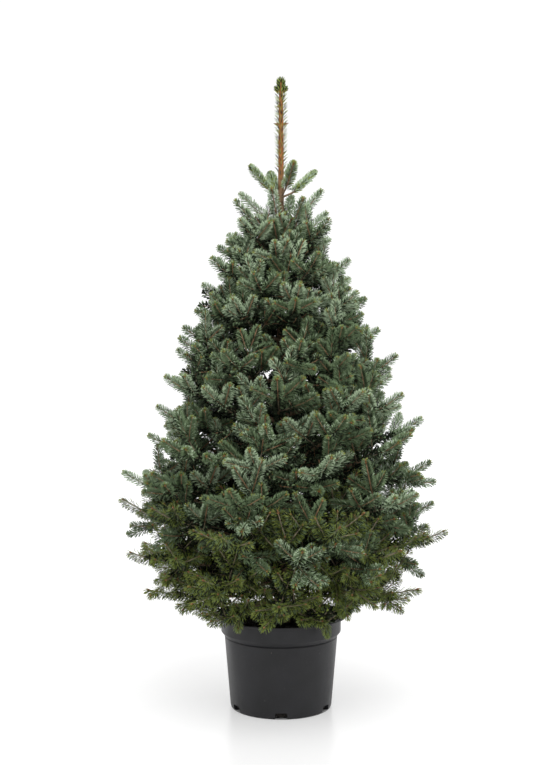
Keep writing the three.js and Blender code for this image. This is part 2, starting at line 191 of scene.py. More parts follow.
MOTTLE = make_mottle()
print("mottle group has", len(MOTTLE.nodes), "nodes")

# %% [markdown]
# ## Helpers for materials
# Every finish here is a Principled shader whose colour, roughness or relief follows some mottling. The nodes
# could be written out for each material, but the same few steps return in all of them, so they are helpers:
# a colour from its text, two colours mixed by a mask, a mask spread over a range, and a bump. A Mix node
# lists its sockets for numbers, vectors and colours together, so three places in that list are named.

# %% Helpers for materials
COLOUR_A, COLOUR_B, COLOUR_OUT = 6, 7, 2


def colour(text):
    """A colour such as #80a090 as the linear values that a shader takes, by the curve of sRGB."""
    values = [int(text[i:i + 2], 16) / 255 for i in (1, 3, 5)]
    linear = [v / 12.92 if v < 0.04045 else ((v + 0.055) / 1.055) ** 2.4 for v in values]
    return (*linear, 1)


def new_material(name):
    material = bpy.data.materials.new(name)
    material.use_nodes = True
    return material, material.node_tree, material.node_tree.nodes["Principled BSDF"]


def mottle(tree, scale, stretch=(1, 1, 1), low=0.35, high=0.65):
    made = tree.nodes.new("ShaderNodeGroup")
    made.node_tree = MOTTLE
    for (name, _), value in zip(MOTTLE_INPUTS, (scale, stretch, low, high)):
        made.inputs[name].default_value = value
    return made.outputs["Value"]


def mixed(tree, factor, first, second):
    """Two colours mixed by a mask. Each is a colour's text or the output of another node."""
    mix = tree.nodes.new("ShaderNodeMix")
    mix.data_type = "RGBA"
    tree.links.new(factor, mix.inputs["Factor"])
    for place, value in ((COLOUR_A, first), (COLOUR_B, second)):
        if isinstance(value, str):
            mix.inputs[place].default_value = colour(value)
        else:
            tree.links.new(value, mix.inputs[place])
    return mix.outputs[COLOUR_OUT]


def ranged(tree, factor, low, high, full=1.0):
    """A value from 0 to full, spread over the range from low to high."""
    remap = tree.nodes.new("ShaderNodeMapRange")
    tree.links.new(factor, remap.inputs["Value"])
    remap.inputs["From Max"].default_value = full
    remap.inputs["To Min"].default_value = low
    remap.inputs["To Max"].default_value = high
    return remap.outputs["Result"]


def bumped(tree, shader, height, depth, strength=1.0):
    bump = tree.nodes.new("ShaderNodeBump")
    bump.inputs["Distance"].default_value = depth
    bump.inputs["Strength"].default_value = strength
    tree.links.new(height, bump.inputs["Height"])
    tree.links.new(bump.outputs["Normal"], shader.inputs["Normal"])


print("mid grey is", round(colour("#808080")[0], 3), "as a linear value")

# %% [markdown]
# ## Floor
# The floor is a pale sheet that also glows, as painted light that keeps the real shadow faint and shows no
# horizon. The glow is a little weaker near the plant than far away, which paints a soft shadow round it.
# Under the pot it doesn't glow, and it is slightly glossy, so that the pot mirrors faintly in it. A bent
# paper backdrop would be as white, but would show its own shading. The floor isn't part of the plant.

# %% Floor
FLOOR_HALF = 14.0
FLOOR_GLOWS, GLOW_REACH = (0.38, 0.58), 2.4
DARK_UNDER_POT, NO_GLOW = 0.107, "#000000"
FLOOR_ROUGHNESS, FLOOR_GLOSS = 0.28, 0.4
PAPER_TONES, PAPER_GRAIN = ("#bababa", "#bebebe"), 2

bm = bmesh.new()
bmesh.ops.create_grid(bm, x_segments=1, y_segments=1, size=FLOOR_HALF)
paper, tree, shader = new_material("floor_paper")
shader.inputs["Roughness"].default_value = FLOOR_ROUGHNESS
shader.inputs["Specular IOR Level"].default_value = FLOOR_GLOSS
shader.inputs["Emission Strength"].default_value = 1
coords = tree.nodes.new("ShaderNodeTexCoord")
distance = tree.nodes.new("ShaderNodeVectorMath")
distance.operation = "LENGTH"
tree.links.new(coords.outputs["Object"], distance.inputs[0])
outside = tree.nodes.new("ShaderNodeMath")
outside.operation = "GREATER_THAN"
outside.inputs[1].default_value = DARK_UNDER_POT
tree.links.new(distance.outputs["Value"], outside.inputs[0])
# The glow is painted light, and its ramp paints a soft shadow near the plant.
glow = ranged(tree, distance.outputs["Value"], *FLOOR_GLOWS, GLOW_REACH)
tree.links.new(mixed(tree, outside.outputs["Value"], NO_GLOW, glow), shader.inputs["Emission Color"])
tree.links.new(mixed(tree, mottle(tree, PAPER_GRAIN), *PAPER_TONES), shader.inputs["Base Color"])
floor = add_object("floor", mesh_from(bm, "floor"), paper)
print("floor is", 2 * FLOOR_HALF, "m wide")

# %% [markdown]
# ## Pot
# A nursery pot is one thin wall of moulded plastic: a tapered body with a crease under its shoulder, a wider
# band, and a lip that flares out to a bead. It could be carved out of a cylinder, but any such round thing is
# a half section turned about its axis, so the section is drawn as a chain of edges and spun. The section runs
# from the underside out, up, over the lip and down inside. Its height and lip are read from the frame.

# %% Pot section
POT_SPIN_STEPS = 120
POT_WALL, POT_FLOOR = 0.0024, 0.003
BODY_RADII, BAND_RADIUS = (0.108, 0.121), 0.1286
SHOULDER_SHARE, BAND_SHARES = 0.7755, (0.8214, 0.964)
LIP_DROP = 0.0046
CREASE_DEPTH = 0.0014
CREASE_HEIGHT = 2.5 * CREASE_DEPTH

pot_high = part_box("pot")[1]
lip_radius, pot_height = pot_high.x, pot_high.z
lip_underside = pot_height - LIP_DROP
shoulder = SHOULDER_SHARE * pot_height
band_low, band_high = (share * pot_height for share in BAND_SHARES)
foot_radius, body_radius = BODY_RADII
inner_foot = foot_radius - 3 * POT_WALL
inner_band = BAND_RADIUS - POT_WALL
pot_section = [
    (0, 0),
    (foot_radius, 0),
    (body_radius, shoulder - CREASE_HEIGHT),
    (body_radius - CREASE_DEPTH, shoulder - CREASE_DEPTH),
    (body_radius, shoulder),
    (BAND_RADIUS, band_low),
    (BAND_RADIUS, band_high),
    (lip_radius, lip_underside),
    (lip_radius, pot_height),
    (inner_band, band_high + POT_WALL),
    (inner_band, band_low + POT_WALL),
    (body_radius - POT_WALL, shoulder + POT_WALL),
    (inner_foot, POT_FLOOR),
    (0, POT_FLOOR),
]


def spun(section, steps):
    """A section of radius and height turned once about the Z axis."""
    bm = bmesh.new()
    corners = [bm.verts.new((radius, 0, height)) for radius, height in section]
    edges = [bm.edges.new(pair) for pair in zip(corners, corners[1:])]
    turn = {"cent": (0, 0, 0), "axis": (0, 0, 1), "angle": 2 * math.pi, "steps": steps}
    bmesh.ops.spin(bm, geom=corners + edges, use_merge=True, **turn)
    close_seams(bm)
    return bm


print("pot is", round(2 * lip_radius, 3), "m over the lip and", round(pot_height, 3), "m high")

# %% [markdown]
# A mould leaves no sharp edge. A Bevel modifier would round every edge alike, but here each loop has its own
# rounding, wide at the foot and narrow at the shoulder, the band and the lip. So the loops are found by their
# radius and height, and bevelled one after the other.

# %% Rounded loops of the pot
FOOT_ROUNDING, SHOULDER_ROUNDING, BAND_ROUNDING, LIP_ROUNDING = 0.005, 0.0006, 0.001, 0.0016
LOOP_STEPS = 4
TOLERANCE = 0.0008
ROUNDINGS = (
    (foot_radius, 0, FOOT_ROUNDING),
    (body_radius, shoulder, SHOULDER_ROUNDING),
    (BAND_RADIUS, band_low, BAND_ROUNDING),
    (BAND_RADIUS, band_high, BAND_ROUNDING),
    (lip_radius, lip_underside, LIP_ROUNDING),
    (lip_radius, pot_height, LIP_ROUNDING),
)


def round_edges(bm, edges, width, steps):
    bmesh.ops.bevel(bm, geom=edges, affect="EDGES", offset=width, segments=steps, profile=0.5, material=-1)


def loop_at(bm, radius, height):
    """The ring of edges at one radius and height."""
    def on_ring(vert):
        return abs(math.hypot(vert.co.x, vert.co.y) - radius) + abs(vert.co.z - height) < TOLERANCE
    return [edge for edge in bm.edges if all(on_ring(vert) for vert in edge.verts)]


bm = spun(pot_section, POT_SPIN_STEPS)
for radius, height, rounding in ROUNDINGS:
    round_edges(bm, loop_at(bm, radius, height), rounding, LOOP_STEPS)
whole_pot = mesh_from(bm, "pot_whole")
print("pot without notches has", len(whole_pot.polygons), "faces")

# %% [markdown]
# Six drain notches open the bottom edge, one of them at the front. They are cut with a Boolean modifier,
# which is quicker and cleaner than moving the wall's vertices by hand. The cutter is one mesh of six boxes
# with rounded roofs, and the cut mesh is kept without the modifier.

# %% Drain notches
NOTCH_COUNT = 6
NOTCH_SIZE = (0.032, 0.025, 0.027)
NOTCH_CORNER, ROOF_STEPS = 0.0035, 3
FRONT = math.radians(-90)


def is_roof_edge(edge):
    """True for the long upper edges of a box, which run in through the wall."""
    return min(vert.co.z for vert in edge.verts) > 0 and edge.calc_length() > NOTCH_SIZE[0] - TOLERANCE


def notch_cutter():
    bm = bmesh.new()
    for i in range(NOTCH_COUNT):
        turn = Matrix.Rotation(FRONT + 2 * math.pi * i / NOTCH_COUNT, 4, "Z")
        place = turn @ Matrix.Translation((foot_radius, 0, 0)) @ Matrix.Diagonal((*NOTCH_SIZE, 1))
        bmesh.ops.create_cube(bm, matrix=place)
    round_edges(bm, [edge for edge in bm.edges if is_roof_edge(edge)], NOTCH_CORNER, ROOF_STEPS)
    return bpy.data.objects.new("notch_cutter", mesh_from(bm, "notch_cutter"))


def cut_mesh(mesh, cutter):
    """A mesh with another object's shape cut out of it."""
    whole = bpy.data.objects.new("uncut", mesh)
    for part in (whole, cutter):
        scene.collection.objects.link(part)
    cut = whole.modifiers.new("notches", "BOOLEAN")
    cut.operation = "DIFFERENCE"
    cut.solver = "EXACT"
    cut.object = cutter
    bpy.context.view_layer.update()
    made = bpy.data.meshes.new_from_object(whole.evaluated_get(bpy.context.evaluated_depsgraph_get()))
    for part in (whole, cutter):
        bpy.data.objects.remove(part)
    return made


pot_mesh = cut_mesh(whole_pot, notch_cutter())
shade(pot_mesh)
print("pot mesh has", len(pot_mesh.polygons), "faces")

# %% [markdown]
# The plastic is charcoal with a satin skin: a faint mould grain, a little unevenness in its gloss, and the
# pale specks of dried compost water that such pots often carry. An image could hold all that, but mottling
# at several grains stays fine from near by and needs no unwrapping.

# %% Pot plastic
PLASTIC_TONES, SPECK_TONE = ("#161618", "#1c1c1f"), "#6d6a64"
CLOUD_GRAIN, SPECK_GRAIN, SKIN_GRAIN, MOULD_GRAIN = 18, 420, 30, 900
SPECKS_FROM, SPECKS_FULL = 0.72, 0.76
SKIN_STRETCH = (1, 1, 0.3)
PLASTIC_ROUGHNESS, PLASTIC_GLOSS = (0.38, 0.5), 0.32
MOULD_DEPTH, MOULD_STRENGTH = 0.0002, 0.35

plastic, tree, shader = new_material("pot_plastic")
body_tone = mixed(tree, mottle(tree, CLOUD_GRAIN), *PLASTIC_TONES)
specks = mottle(tree, SPECK_GRAIN, low=SPECKS_FROM, high=SPECKS_FULL)
tree.links.new(mixed(tree, specks, body_tone, SPECK_TONE), shader.inputs["Base Color"])
skin = mottle(tree, SKIN_GRAIN, SKIN_STRETCH)
tree.links.new(ranged(tree, skin, *PLASTIC_ROUGHNESS), shader.inputs["Roughness"])
shader.inputs["Specular IOR Level"].default_value = PLASTIC_GLOSS
bumped(tree, shader, mottle(tree, MOULD_GRAIN), MOULD_DEPTH, MOULD_STRENGTH)
add_piece("moulded_pot", pot_mesh, plastic, "pot_plastic", "pot")

# %% [markdown]
# ## Compost
# The compost fills the pot down to the notches and rises a little towards the trunk. A disc would do for what
# shows from above, but a spun body also closes the notches. Its top has more rings, which noise then lifts
# into lumps and hollows.

# %% Compost body
SOIL_TOP_RINGS = 26
SOIL_EDGE_HEIGHT = 0.172
MOUND_RADIUS = 0.034
SOIL_CLEARANCE = 0.0006
SOIL_RELIEF, SOIL_GRAIN, SOIL_SINK = 0.006, 60, 0.4
SOIL_FRACTAL = (1.0, 2.2, 4)
STILL_RIM, STILL_DROP = 0.002, 0.001

soil_low, soil_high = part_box("soil")
soil_radius = soil_high.x


def soil_height(radius):
    rise = min(1.0, max(0.0, (soil_radius - radius) / (soil_radius - MOUND_RADIUS)))
    return SOIL_EDGE_HEIGHT + (soil_high.z - SOIL_EDGE_HEIGHT) * rise


soil_section = [(radius, soil_height(radius)) for radius in np.linspace(0, soil_radius, SOIL_TOP_RINGS)]
soil_section += [(soil_radius, shoulder), (inner_foot - SOIL_CLEARANCE, soil_low.z), (0, soil_low.z)]
bm = spun(soil_section, POT_SPIN_STEPS)
for vert in bm.verts:
    inside = math.hypot(vert.co.x, vert.co.y) < soil_radius - STILL_RIM
    if inside and vert.co.z > SOIL_EDGE_HEIGHT - STILL_DROP:
        vert.co.z += SOIL_RELIEF * (noise.fractal(vert.co * SOIL_GRAIN, *SOIL_FRACTAL) - SOIL_SINK)
soil_mesh = mesh_from(bm, "compost")
print("compost is", round(2 * soil_radius, 3), "m across")

# %% [markdown]
# Moist compost is almost black, with browner fibres in it and a rough skin without any gloss. Two mottlings
# give the tones, a third one the roughness, and a fourth one a bump that is finer than the mesh can be.

# %% Compost finish
PEAT_TONES, FIBRE_TONE = ("#0e0b08", "#1e1812"), "#3a2e22"
PEAT_GRAIN, FIBRE_GRAIN, DAMP_GRAIN, GRIT_GRAIN = 260, 700, 90, 520
FIBRES_FROM, FIBRES_FULL = 0.6, 0.7
PEAT_ROUGHNESS, GRIT_DEPTH = (0.75, 1.0), 0.002

compost, tree, shader = new_material("compost")
peat = mixed(tree, mottle(tree, PEAT_GRAIN), *PEAT_TONES)
fibres = mottle(tree, FIBRE_GRAIN, low=FIBRES_FROM, high=FIBRES_FULL)
tree.links.new(mixed(tree, fibres, peat, FIBRE_TONE), shader.inputs["Base Color"])
tree.links.new(ranged(tree, mottle(tree, DAMP_GRAIN), *PEAT_ROUGHNESS), shader.inputs["Roughness"])
bumped(tree, shader, mottle(tree, GRIT_GRAIN), GRIT_DEPTH)
add_piece("compost_fill", soil_mesh, compost, "compost", "soil")

# %% [markdown]
# Loose crumbs of bark and peat lie on the compost. Hundreds of objects would be heavy to handle, so they are
# one joined mesh from arrays: each crumb is an octahedron that is stretched, turned and put in its place. The
# same two helpers later join the needles, twigs and buds.

# %% Compost crumbs
CRUMB_COUNT, CRUMB_SEED = 700, 11
CRUMB_SIZES, CRUMB_SHAPE = (0.002, 0.006), (1, 0.7, 0.5)
CRUMB_INSET = 0.008
OCTAHEDRON = np.array([(1, 0, 0), (-1, 0, 0), (0, 1, 0), (0, -1, 0), (0, 0, 1), (0, 0, -1)], float)
OCTAHEDRON_FACES = [(0, 2, 4), (2, 1, 4), (1, 3, 4), (3, 0, 4), (2, 0, 5), (1, 2, 5), (3, 1, 5), (0, 3, 5)]


def mesh_from_arrays(name, points, triangles):
    """A mesh from an array of points and an array of corner triples."""
    mesh = bpy.data.meshes.new(name)
    mesh.vertices.add(len(points))
    mesh.vertices.foreach_set("co", np.asarray(points, np.float32).ravel())
    mesh.loops.add(3 * len(triangles))
    mesh.loops.foreach_set("vertex_index", np.asarray(triangles, np.int32).ravel())
    mesh.polygons.add(len(triangles))
    mesh.polygons.foreach_set("loop_start", np.arange(0, 3 * len(triangles), 3, dtype=np.int32))
    mesh.update(calc_edges=True)
    return mesh


def copies(count, corners, triangles):
    """The triangles of one small shape, repeated for each of its copies."""
    return (np.asarray(triangles)[None] + corners * np.arange(count)[:, None, None]).reshape(-1, 3)


rng = np.random.default_rng(CRUMB_SEED)
distance = (soil_radius - CRUMB_INSET) * np.sqrt(rng.random(CRUMB_COUNT))
angle = rng.random(CRUMB_COUNT) * 2 * math.pi
height = [soil_height(r) for r in distance]
centre = np.stack([distance * np.cos(angle), distance * np.sin(angle), height], axis=1)
size = rng.uniform(*CRUMB_SIZES, (CRUMB_COUNT, 1, 3)) * CRUMB_SHAPE
spin = rng.random(CRUMB_COUNT) * math.pi
turn = np.zeros((CRUMB_COUNT, 3, 3))
turn[:, 0, 0] = turn[:, 1, 1] = np.cos(spin)
turn[:, 0, 1], turn[:, 1, 0] = np.sin(spin), -np.sin(spin)
turn[:, 2, 2] = 1
crumbs = (OCTAHEDRON * size) @ turn + centre[:, None]
crumb_faces = copies(CRUMB_COUNT, len(OCTAHEDRON), OCTAHEDRON_FACES)
crumb_mesh = mesh_from_arrays("crumbs", crumbs.reshape(-1, 3), crumb_faces)
add_piece("compost_crumbs", crumb_mesh, compost, "compost")

# %% [markdown]
# ## The rule of growth
# The solids grow by a seeded rule, and the same rule is written again here, with the same draws in the same
# order, so that every bough lies on its solid. Whorls of boughs leave the trunk, the low ones nearly level
# and the high ones steep, and each reaches to the crown's outline. That outline is a radius at each height:
# it swells to its widest above a tucked-in skirt and narrows towards the top.

# %% Draws and crown outline
WIDEST_HEIGHT, WIDEST_RADIUS = 0.400, 0.340
CROWN_TOP, TOP_RADIUS, CROWN_CURVE = 1.140, 0.088, 1.25
SKIRT_DEPTH, SKIRT_TUCK, SKIRT_CURVE = 0.200, 0.100, 1.7
GROWTH_SEED, DRAW_FACTOR, DRAW_RANGE = 20261, 48271, 2147483647


def seeded(state):
    """Endless draws between 0 and 1, the same on every run."""
    while True:
        state = state * DRAW_FACTOR % DRAW_RANGE
        yield state / DRAW_RANGE


draws = seeded(GROWTH_SEED)


def spread(width):
    return width * (2 * next(draws) - 1)


def lerp(start, end, share):
    return start + (end - start) * share


def crown_radius(height):
    if height < WIDEST_HEIGHT:
        return WIDEST_RADIUS - SKIRT_TUCK * ((WIDEST_HEIGHT - height) / SKIRT_DEPTH) ** SKIRT_CURVE
    climb = (height - WIDEST_HEIGHT) / (CROWN_TOP - WIDEST_HEIGHT)
    return TOP_RADIUS + (WIDEST_RADIUS - TOP_RADIUS) * (1 - climb ** CROWN_CURVE)


print("crown radius at 0.25, 0.4, 0.8 m:", [round(crown_radius(h), 3) for h in (0.25, 0.4, 0.8)])

# %% [markdown]
# A bough, a twig and a shoot are all the same thing at another size: a line that leaves its parent and bends
# a little. Blender's own curves could hold them, but thousands of small curve objects are slow. So one small
# class holds such a line and can be read at any share of its own length.

# %% Bent lines
LINE_STEPS, HEADING_STEP = 48, 0.02


def unit(vectors):
    return vectors / np.linalg.norm(vectors, axis=-1, keepdims=True)


class BentLine:
    """A line from a start to an end, drawn aside by a point between them."""
    def __init__(self, start, bend, end):
        t = np.linspace(0, 1, LINE_STEPS + 1)[:, None]
        self.points = (1 - t) ** 2 * start + 2 * t * (1 - t) * bend + t * t * end
        steps = np.linalg.norm(np.diff(self.points, axis=0), axis=1)
        self.length = steps.sum()
        self.shares = np.concatenate([[0], np.cumsum(steps)]) / self.length

    def at(self, share):
        return np.stack([np.interp(share, self.shares, axis) for axis in self.points.T], axis=-1)

    def heading(self, share):
        ahead, behind = np.minimum(share + HEADING_STEP, 1), np.maximum(share - HEADING_STEP, 0)
        return unit(self.at(ahead) - self.at(behind))


print("a bent line has", LINE_STEPS, "steps")

# %% [markdown]
# A bough leaves the trunk at its whorl's height, in the direction of its spoke, climbs by its ascent and sags
# a little on the way. Each could be placed by hand, but the rule gives them all from a few values, and its
# draws only shift them a little, as on a real tree. The low whorls have five boughs and the high ones four.

# %% Plan the boughs
WHORL_COUNT, WIDE_WHORLS = 10, 6
WIDE_SPOKES, HIGH_SPOKES = 5, 4
LOWEST_WHORL, TOP_WHORL = 0.248, 1.090
WHORL_TURN = math.radians(117)
SPOKE_SPREAD, HEIGHT_SPREAD, ASCENT_SPREAD = 0.07, 0.034, 4
LOWEST_ASCENT, TOP_ASCENT, ASCENT_CURVE = -8, 34, 0.42
FULL_REACH, REACH_SPREAD = 1.09, 0.1
BEND_PLACE, BEND_SAG = 0.55, 0.1
SLENDERNESS, LEAST_RADIUS = 75, 0.001
UP = np.array([0, 0, 1.0])


@dataclass
class Bough:
    whorl: float
    spoke: int
    line: BentLine
    side: np.ndarray
    radius: float


def spokes_in(whorl):
    return WIDE_SPOKES if whorl < WIDE_WHORLS else HIGH_SPOKES


def plan_bough(whorl, spoke, vigour=1.0):
    share = whorl / (WHORL_COUNT - 1)
    eased = share * share * (3 - 2 * share)
    height = lerp(LOWEST_WHORL, TOP_WHORL, (share + eased) / 2)
    height += spread(HEIGHT_SPREAD) * 4 * share * (1 - share)
    place = (spoke + 0.5 + spread(SPOKE_SPREAD)) / spokes_in(whorl)
    azimuth = FRONT + WHORL_TURN * whorl + 2 * math.pi * place
    ascent = lerp(LOWEST_ASCENT, TOP_ASCENT, share ** ASCENT_CURVE) + spread(ASCENT_SPREAD)
    slope = math.tan(math.radians(ascent))
    edge = crown_radius(height + crown_radius(height) * slope)
    reach = edge * (FULL_REACH - REACH_SPREAD * next(draws)) * vigour
    out = np.array([math.cos(azimuth), math.sin(azimuth), 0])
    bend = out * BEND_PLACE * reach + UP * (height + BEND_PLACE * reach * slope - BEND_SAG * reach)
    line = BentLine(UP * height, bend, out * reach + UP * (height + reach * slope))
    return Bough(whorl, spoke, line, np.cross(UP, out), line.length / SLENDERNESS + LEAST_RADIUS)


boughs = [plan_bough(whorl, spoke) for whorl in range(WHORL_COUNT) for spoke in range(spokes_in(whorl))]
print("boughs:", len(boughs), "longest", round(max(b.line.length for b in boughs), 3), "m")

# %% [markdown]
# Along a bough the twigs come in pairs from its tip inwards, with a few that stand up on its back. The draws
# for them follow in the same order as in the solids, so the sites are listed first and grown later.

# %% Sites of twigs
TIP_SHARE, SHORTEST_TWIG, LONGEST_TWIG = 0.42, 0.056, 0.126
NODE_SPACING, NODE_SETBACK, BARE_START = 0.074, 0.010, 0.096
SIDE_LENGTH, SIDE_LENGTH_SPREAD, TOP_LENGTH = 0.92, 0.12, 0.9
SIDE_TURN, SIDE_TURN_SPREAD = math.radians(56), math.radians(8)
SIDE_LIFT, SIDE_LIFT_SPREAD = math.radians(17), math.radians(20)
TOP_LIFT, TOP_LIFT_SPREAD = math.radians(52), math.radians(8)
TOP_TWIGS_FROM_LENGTH = 0.110
TOP_TWIG_PLACES = (0.7, 0.42)


@dataclass
class Site:
    place: float
    turn: float
    lift: float
    length: float
    hidden: bool = False


def twig_sites(bough):
    whole = bough.line.length
    tip = min(LONGEST_TWIG, max(SHORTEST_TWIG, whole * TIP_SHARE))
    sites = [Site(1 - tip / whole, 0, 0, tip)]
    first = tip + NODE_SETBACK
    for pair in range(max(1, math.ceil((whole - first - BARE_START) / NODE_SPACING))):
        for hand in (-1, 1):
            turn = hand * (SIDE_TURN + spread(SIDE_TURN_SPREAD))
            lift = SIDE_LIFT + spread(SIDE_LIFT_SPREAD)
            length = tip * (SIDE_LENGTH - SIDE_LENGTH_SPREAD * next(draws))
            sites.append(Site(1 - (first + pair * NODE_SPACING) / whole, turn, lift, length))
    if whole > TOP_TWIGS_FROM_LENGTH:
        for place in TOP_TWIG_PLACES:
            lift = TOP_LIFT + spread(TOP_LIFT_SPREAD)
            sites.append(Site(place, spread(SIDE_TURN), lift, tip * TOP_LENGTH))
    return sites


planned = [(bough, twig_sites(bough)) for bough in boughs]
print("twig sites:", sum(len(sites) for _, sites in planned))

# %% [markdown]
# Between two whorls a young spruce also has weaker boughs. They are too many to be solids of their own, so
# they are only here. They come after all other draws, stay within the same reach, and fill the crown as
# densely as on the real plant. Low down some twigs also hang from every bough and close the skirt, and hidden
# ones fill the shade near the trunk.

# %% Boughs between the whorls
DENSE_WHORLS, DENSE_LEVELS, HIGH_LEVELS = 6, (1 / 3, 2 / 3), (1 / 2,)
BETWEEN_START, BETWEEN_VIGOUR = 0.5, 0.96
HANGING_WHORLS, HANGING_PLACES = 2.4, (0.4, 0.65)
FILLING_WHORLS, FILLING_PLACES = 6.5, (0.3, 0.55)
HANGING_LIFT, HANGING_LENGTH = math.radians(-38), 0.098
EXTRA_SPREAD = 0.08


def in_whorl(bough):
    return bough.whorl == int(bough.whorl)


def extra_sites(bough):
    """The twigs that hang from a low bough, and hidden ones that fill the shade near the trunk."""
    low = bough.whorl < HANGING_WHORLS
    filling = low or (bough.whorl < FILLING_WHORLS and not in_whorl(bough))
    extra = [(place, HANGING_LIFT, False) for place in HANGING_PLACES if low]
    extra += [(place, -HANGING_LIFT if low else HANGING_LIFT, True) for place in FILLING_PLACES if filling]
    sites = []
    for place, lift, hidden in extra:
        lift += spread(SIDE_LIFT_SPREAD)
        sites.append(Site(place + spread(EXTRA_SPREAD), spread(SIDE_TURN), lift, HANGING_LENGTH, hidden))
    return sites


levels = [whorl + place for whorl in range(WHORL_COUNT - 2)
          for place in (DENSE_LEVELS if whorl < DENSE_WHORLS else HIGH_LEVELS)]
between = [plan_bough(level, spoke, BETWEEN_VIGOUR) for level in levels for spoke in range(spokes_in(level))]
planned += [(bough, [site for site in twig_sites(bough) if site.place > BETWEEN_START]) for bough in between]
planned = [(bough, sites + extra_sites(bough)) for bough, sites in planned]
boughs += between
print("boughs:", len(boughs), "twig sites:", sum(len(sites) for _, sites in planned))

# %% [markdown]
# ## Shoots
# A shoot is one year's growth: a short line with an upper side, from which needles, bark and buds are made.
# It also knows whether it is old, whether it lies in the shade inside the crown, and whether it belongs to
# the mossy skirt. All of them go into one list, because arrays of many small things are made fastest at once.

# %% Shoots
SHOOT_SEED = 5


@dataclass
class Shoot:
    line: BentLine
    above: np.ndarray
    spray: int
    old: bool
    inner: bool
    mossy: bool


shoots, hidden_sprays = [], []
rng = np.random.default_rng(SHOOT_SEED)


def turned(heading, above, turn, lift):
    """A heading turned aside and lifted, with the upper side that goes with it."""
    side = np.cross(above, heading)
    level = heading * math.cos(turn) + side * math.sin(turn)
    made = unit(level * math.cos(lift) + above * math.sin(lift))
    return made, unit(above - made * (above @ made))


print("shoots start from seed", SHOOT_SEED)

# %% [markdown]
# Each twig is two years of growth. Where this year's part begins, a pair of side shoots leaves it, so that
# every twig ends in a trident. All shoots of a twig are one spray and share their tint. Old and hidden ones
# count as shaded further out than the rest, but not where they would show at the crown's outline.

# %% Twigs
NODE_PLACE, SIDE_SHOOT, SIDE_SHOOT_SIZES = 0.38, 0.55, (0.8, 1.05)
FORK_TURN, FORK_LIFT, FORK_SPREAD = math.radians(50), math.radians(8), math.radians(10)
TIP_CURL = 0.14
NEEDLE_ROOM = 0.006
SHADE_PLACE, INNER_SHARE, SHADED_SHARE = 0.6, 0.52, 0.76
TOP_LIT = 0.15
MOSS_FROM, MOSS_FULL = 0.43, 0.29


class Twig:
    """One twig, which adds its shoots to the list and gives them all the same tint."""
    count = 0

    def __init__(self, foot, heading, above, hidden=False):
        self.foot, self.heading, self.above, self.hidden = foot, heading, above, hidden
        Twig.count += 1
        self.spray = Twig.count
        if hidden:
            hidden_sprays.append(self.spray)
        self.mossy = rng.random() < (MOSS_FROM - foot[2]) / (MOSS_FROM - MOSS_FULL)

    def add_shoot(self, foot, heading, above, length, old=False):
        curl = above * TIP_CURL * length * (not old)
        self.add_line(BentLine(foot, foot + heading * length / 2, foot + heading * length + curl), above, old)

    def add_line(self, line, above, old=False):
        x, y, z = line.at(SHADE_PLACE)
        share = SHADED_SHARE if old or self.hidden else INNER_SHARE
        inner = math.hypot(x, y) < share * crown_radius(min(z, CROWN_TOP)) and z < CROWN_TOP - TOP_LIT
        shoots.append(Shoot(line, above, self.spray, old, inner, self.mossy))

    def clothe(self, start, end):
        """Old needles along a stretch of the bough itself."""
        length = np.linalg.norm(end - start)
        self.add_shoot(start, (end - start) / length, self.above, length, old=True)

    def add_pair(self, place, length):
        foot = self.foot + self.heading * place
        for hand in (-1, 1):
            turn = hand * (FORK_TURN + rng.normal(0, FORK_SPREAD))
            heading, above = turned(self.heading, self.above, turn, FORK_LIFT + rng.normal(0, FORK_SPREAD))
            self.add_shoot(foot, heading, above, length * rng.uniform(*SIDE_SHOOT_SIZES))

    def grow(self, length):
        reach = length - NEEDLE_ROOM
        self.add_shoot(self.foot, self.heading, self.above, reach * NODE_PLACE, old=True)
        node = self.foot + self.heading * reach * NODE_PLACE
        self.add_shoot(node, self.heading, self.above, reach * (1 - NODE_PLACE))
        self.add_pair(reach * NODE_PLACE, reach * SIDE_SHOOT)


print("a twig ends in a fork of", round(math.degrees(2 * FORK_TURN)), "degrees")

# %% [markdown]
# Two kinds of growth have no side shoots. Each bough of the lowest whorl lets one sprig lean over the rim and
# hang down outside it, and the short boughs near the top are a single shoot each. They could be placed
# freely, but they are read from the bough's own line, so that they always start on it.

# %% Sprigs and single shoots
PLAIN_START = 0.26
SPRIG_SETBACK, SPRIG_REACH, SPRIG_DROP, SPRIG_TURN = 0.012, 0.026, 0.028, 0.5
BACK = np.array([0, 1.0, 0])


def hang_sprig(bough):
    """One shoot that leans over the rim and hangs down outside it."""
    distance = np.hypot(bough.line.points[:, 0], bough.line.points[:, 1])
    foot = bough.line.at(np.interp(lip_radius - SPRIG_SETBACK, distance, bough.line.shares))
    out = unit(np.cross(bough.side, UP) - BACK * SPRIG_TURN)
    over = foot + out * SPRIG_REACH
    Twig(foot, out, out).add_line(BentLine(foot, over, over - UP * SPRIG_DROP), out)


def grow_plain(bough):
    """A short bough as one shoot."""
    foot = bough.line.at(PLAIN_START)
    heading = unit(bough.line.at(1.0) - foot)
    twig = Twig(foot, heading, np.cross(heading, bough.side))
    twig.add_shoot(foot, heading, twig.above, bough.line.length * (1 - PLAIN_START) - NEEDLE_ROOM)


print("a sprig leans", 1000 * SPRIG_REACH, "mm out and hangs", 1000 * SPRIG_DROP, "mm down")

# %% [markdown]
# A twig that would leave the crown's outline or touch the pot grows shorter, and one that still doesn't fit
# isn't grown, as in the solids. Old needles clothe most of a longer bough, but the lowest ones are bare.

# %% Grow the twigs
TWIG_LENGTHS, TWIG_TRIES = (0.098, 0.126), (1, 0.86, 0.72, 0.58)
RIM_ROOM, LOWEST_TIP = 0.014, 0.212
FIRST_TWIG, PLAIN_BOUGH = 0.16, 0.14
CLAD_STRETCH, CLAD_FROM_WHORL = (0.1, 0.84), 0.6


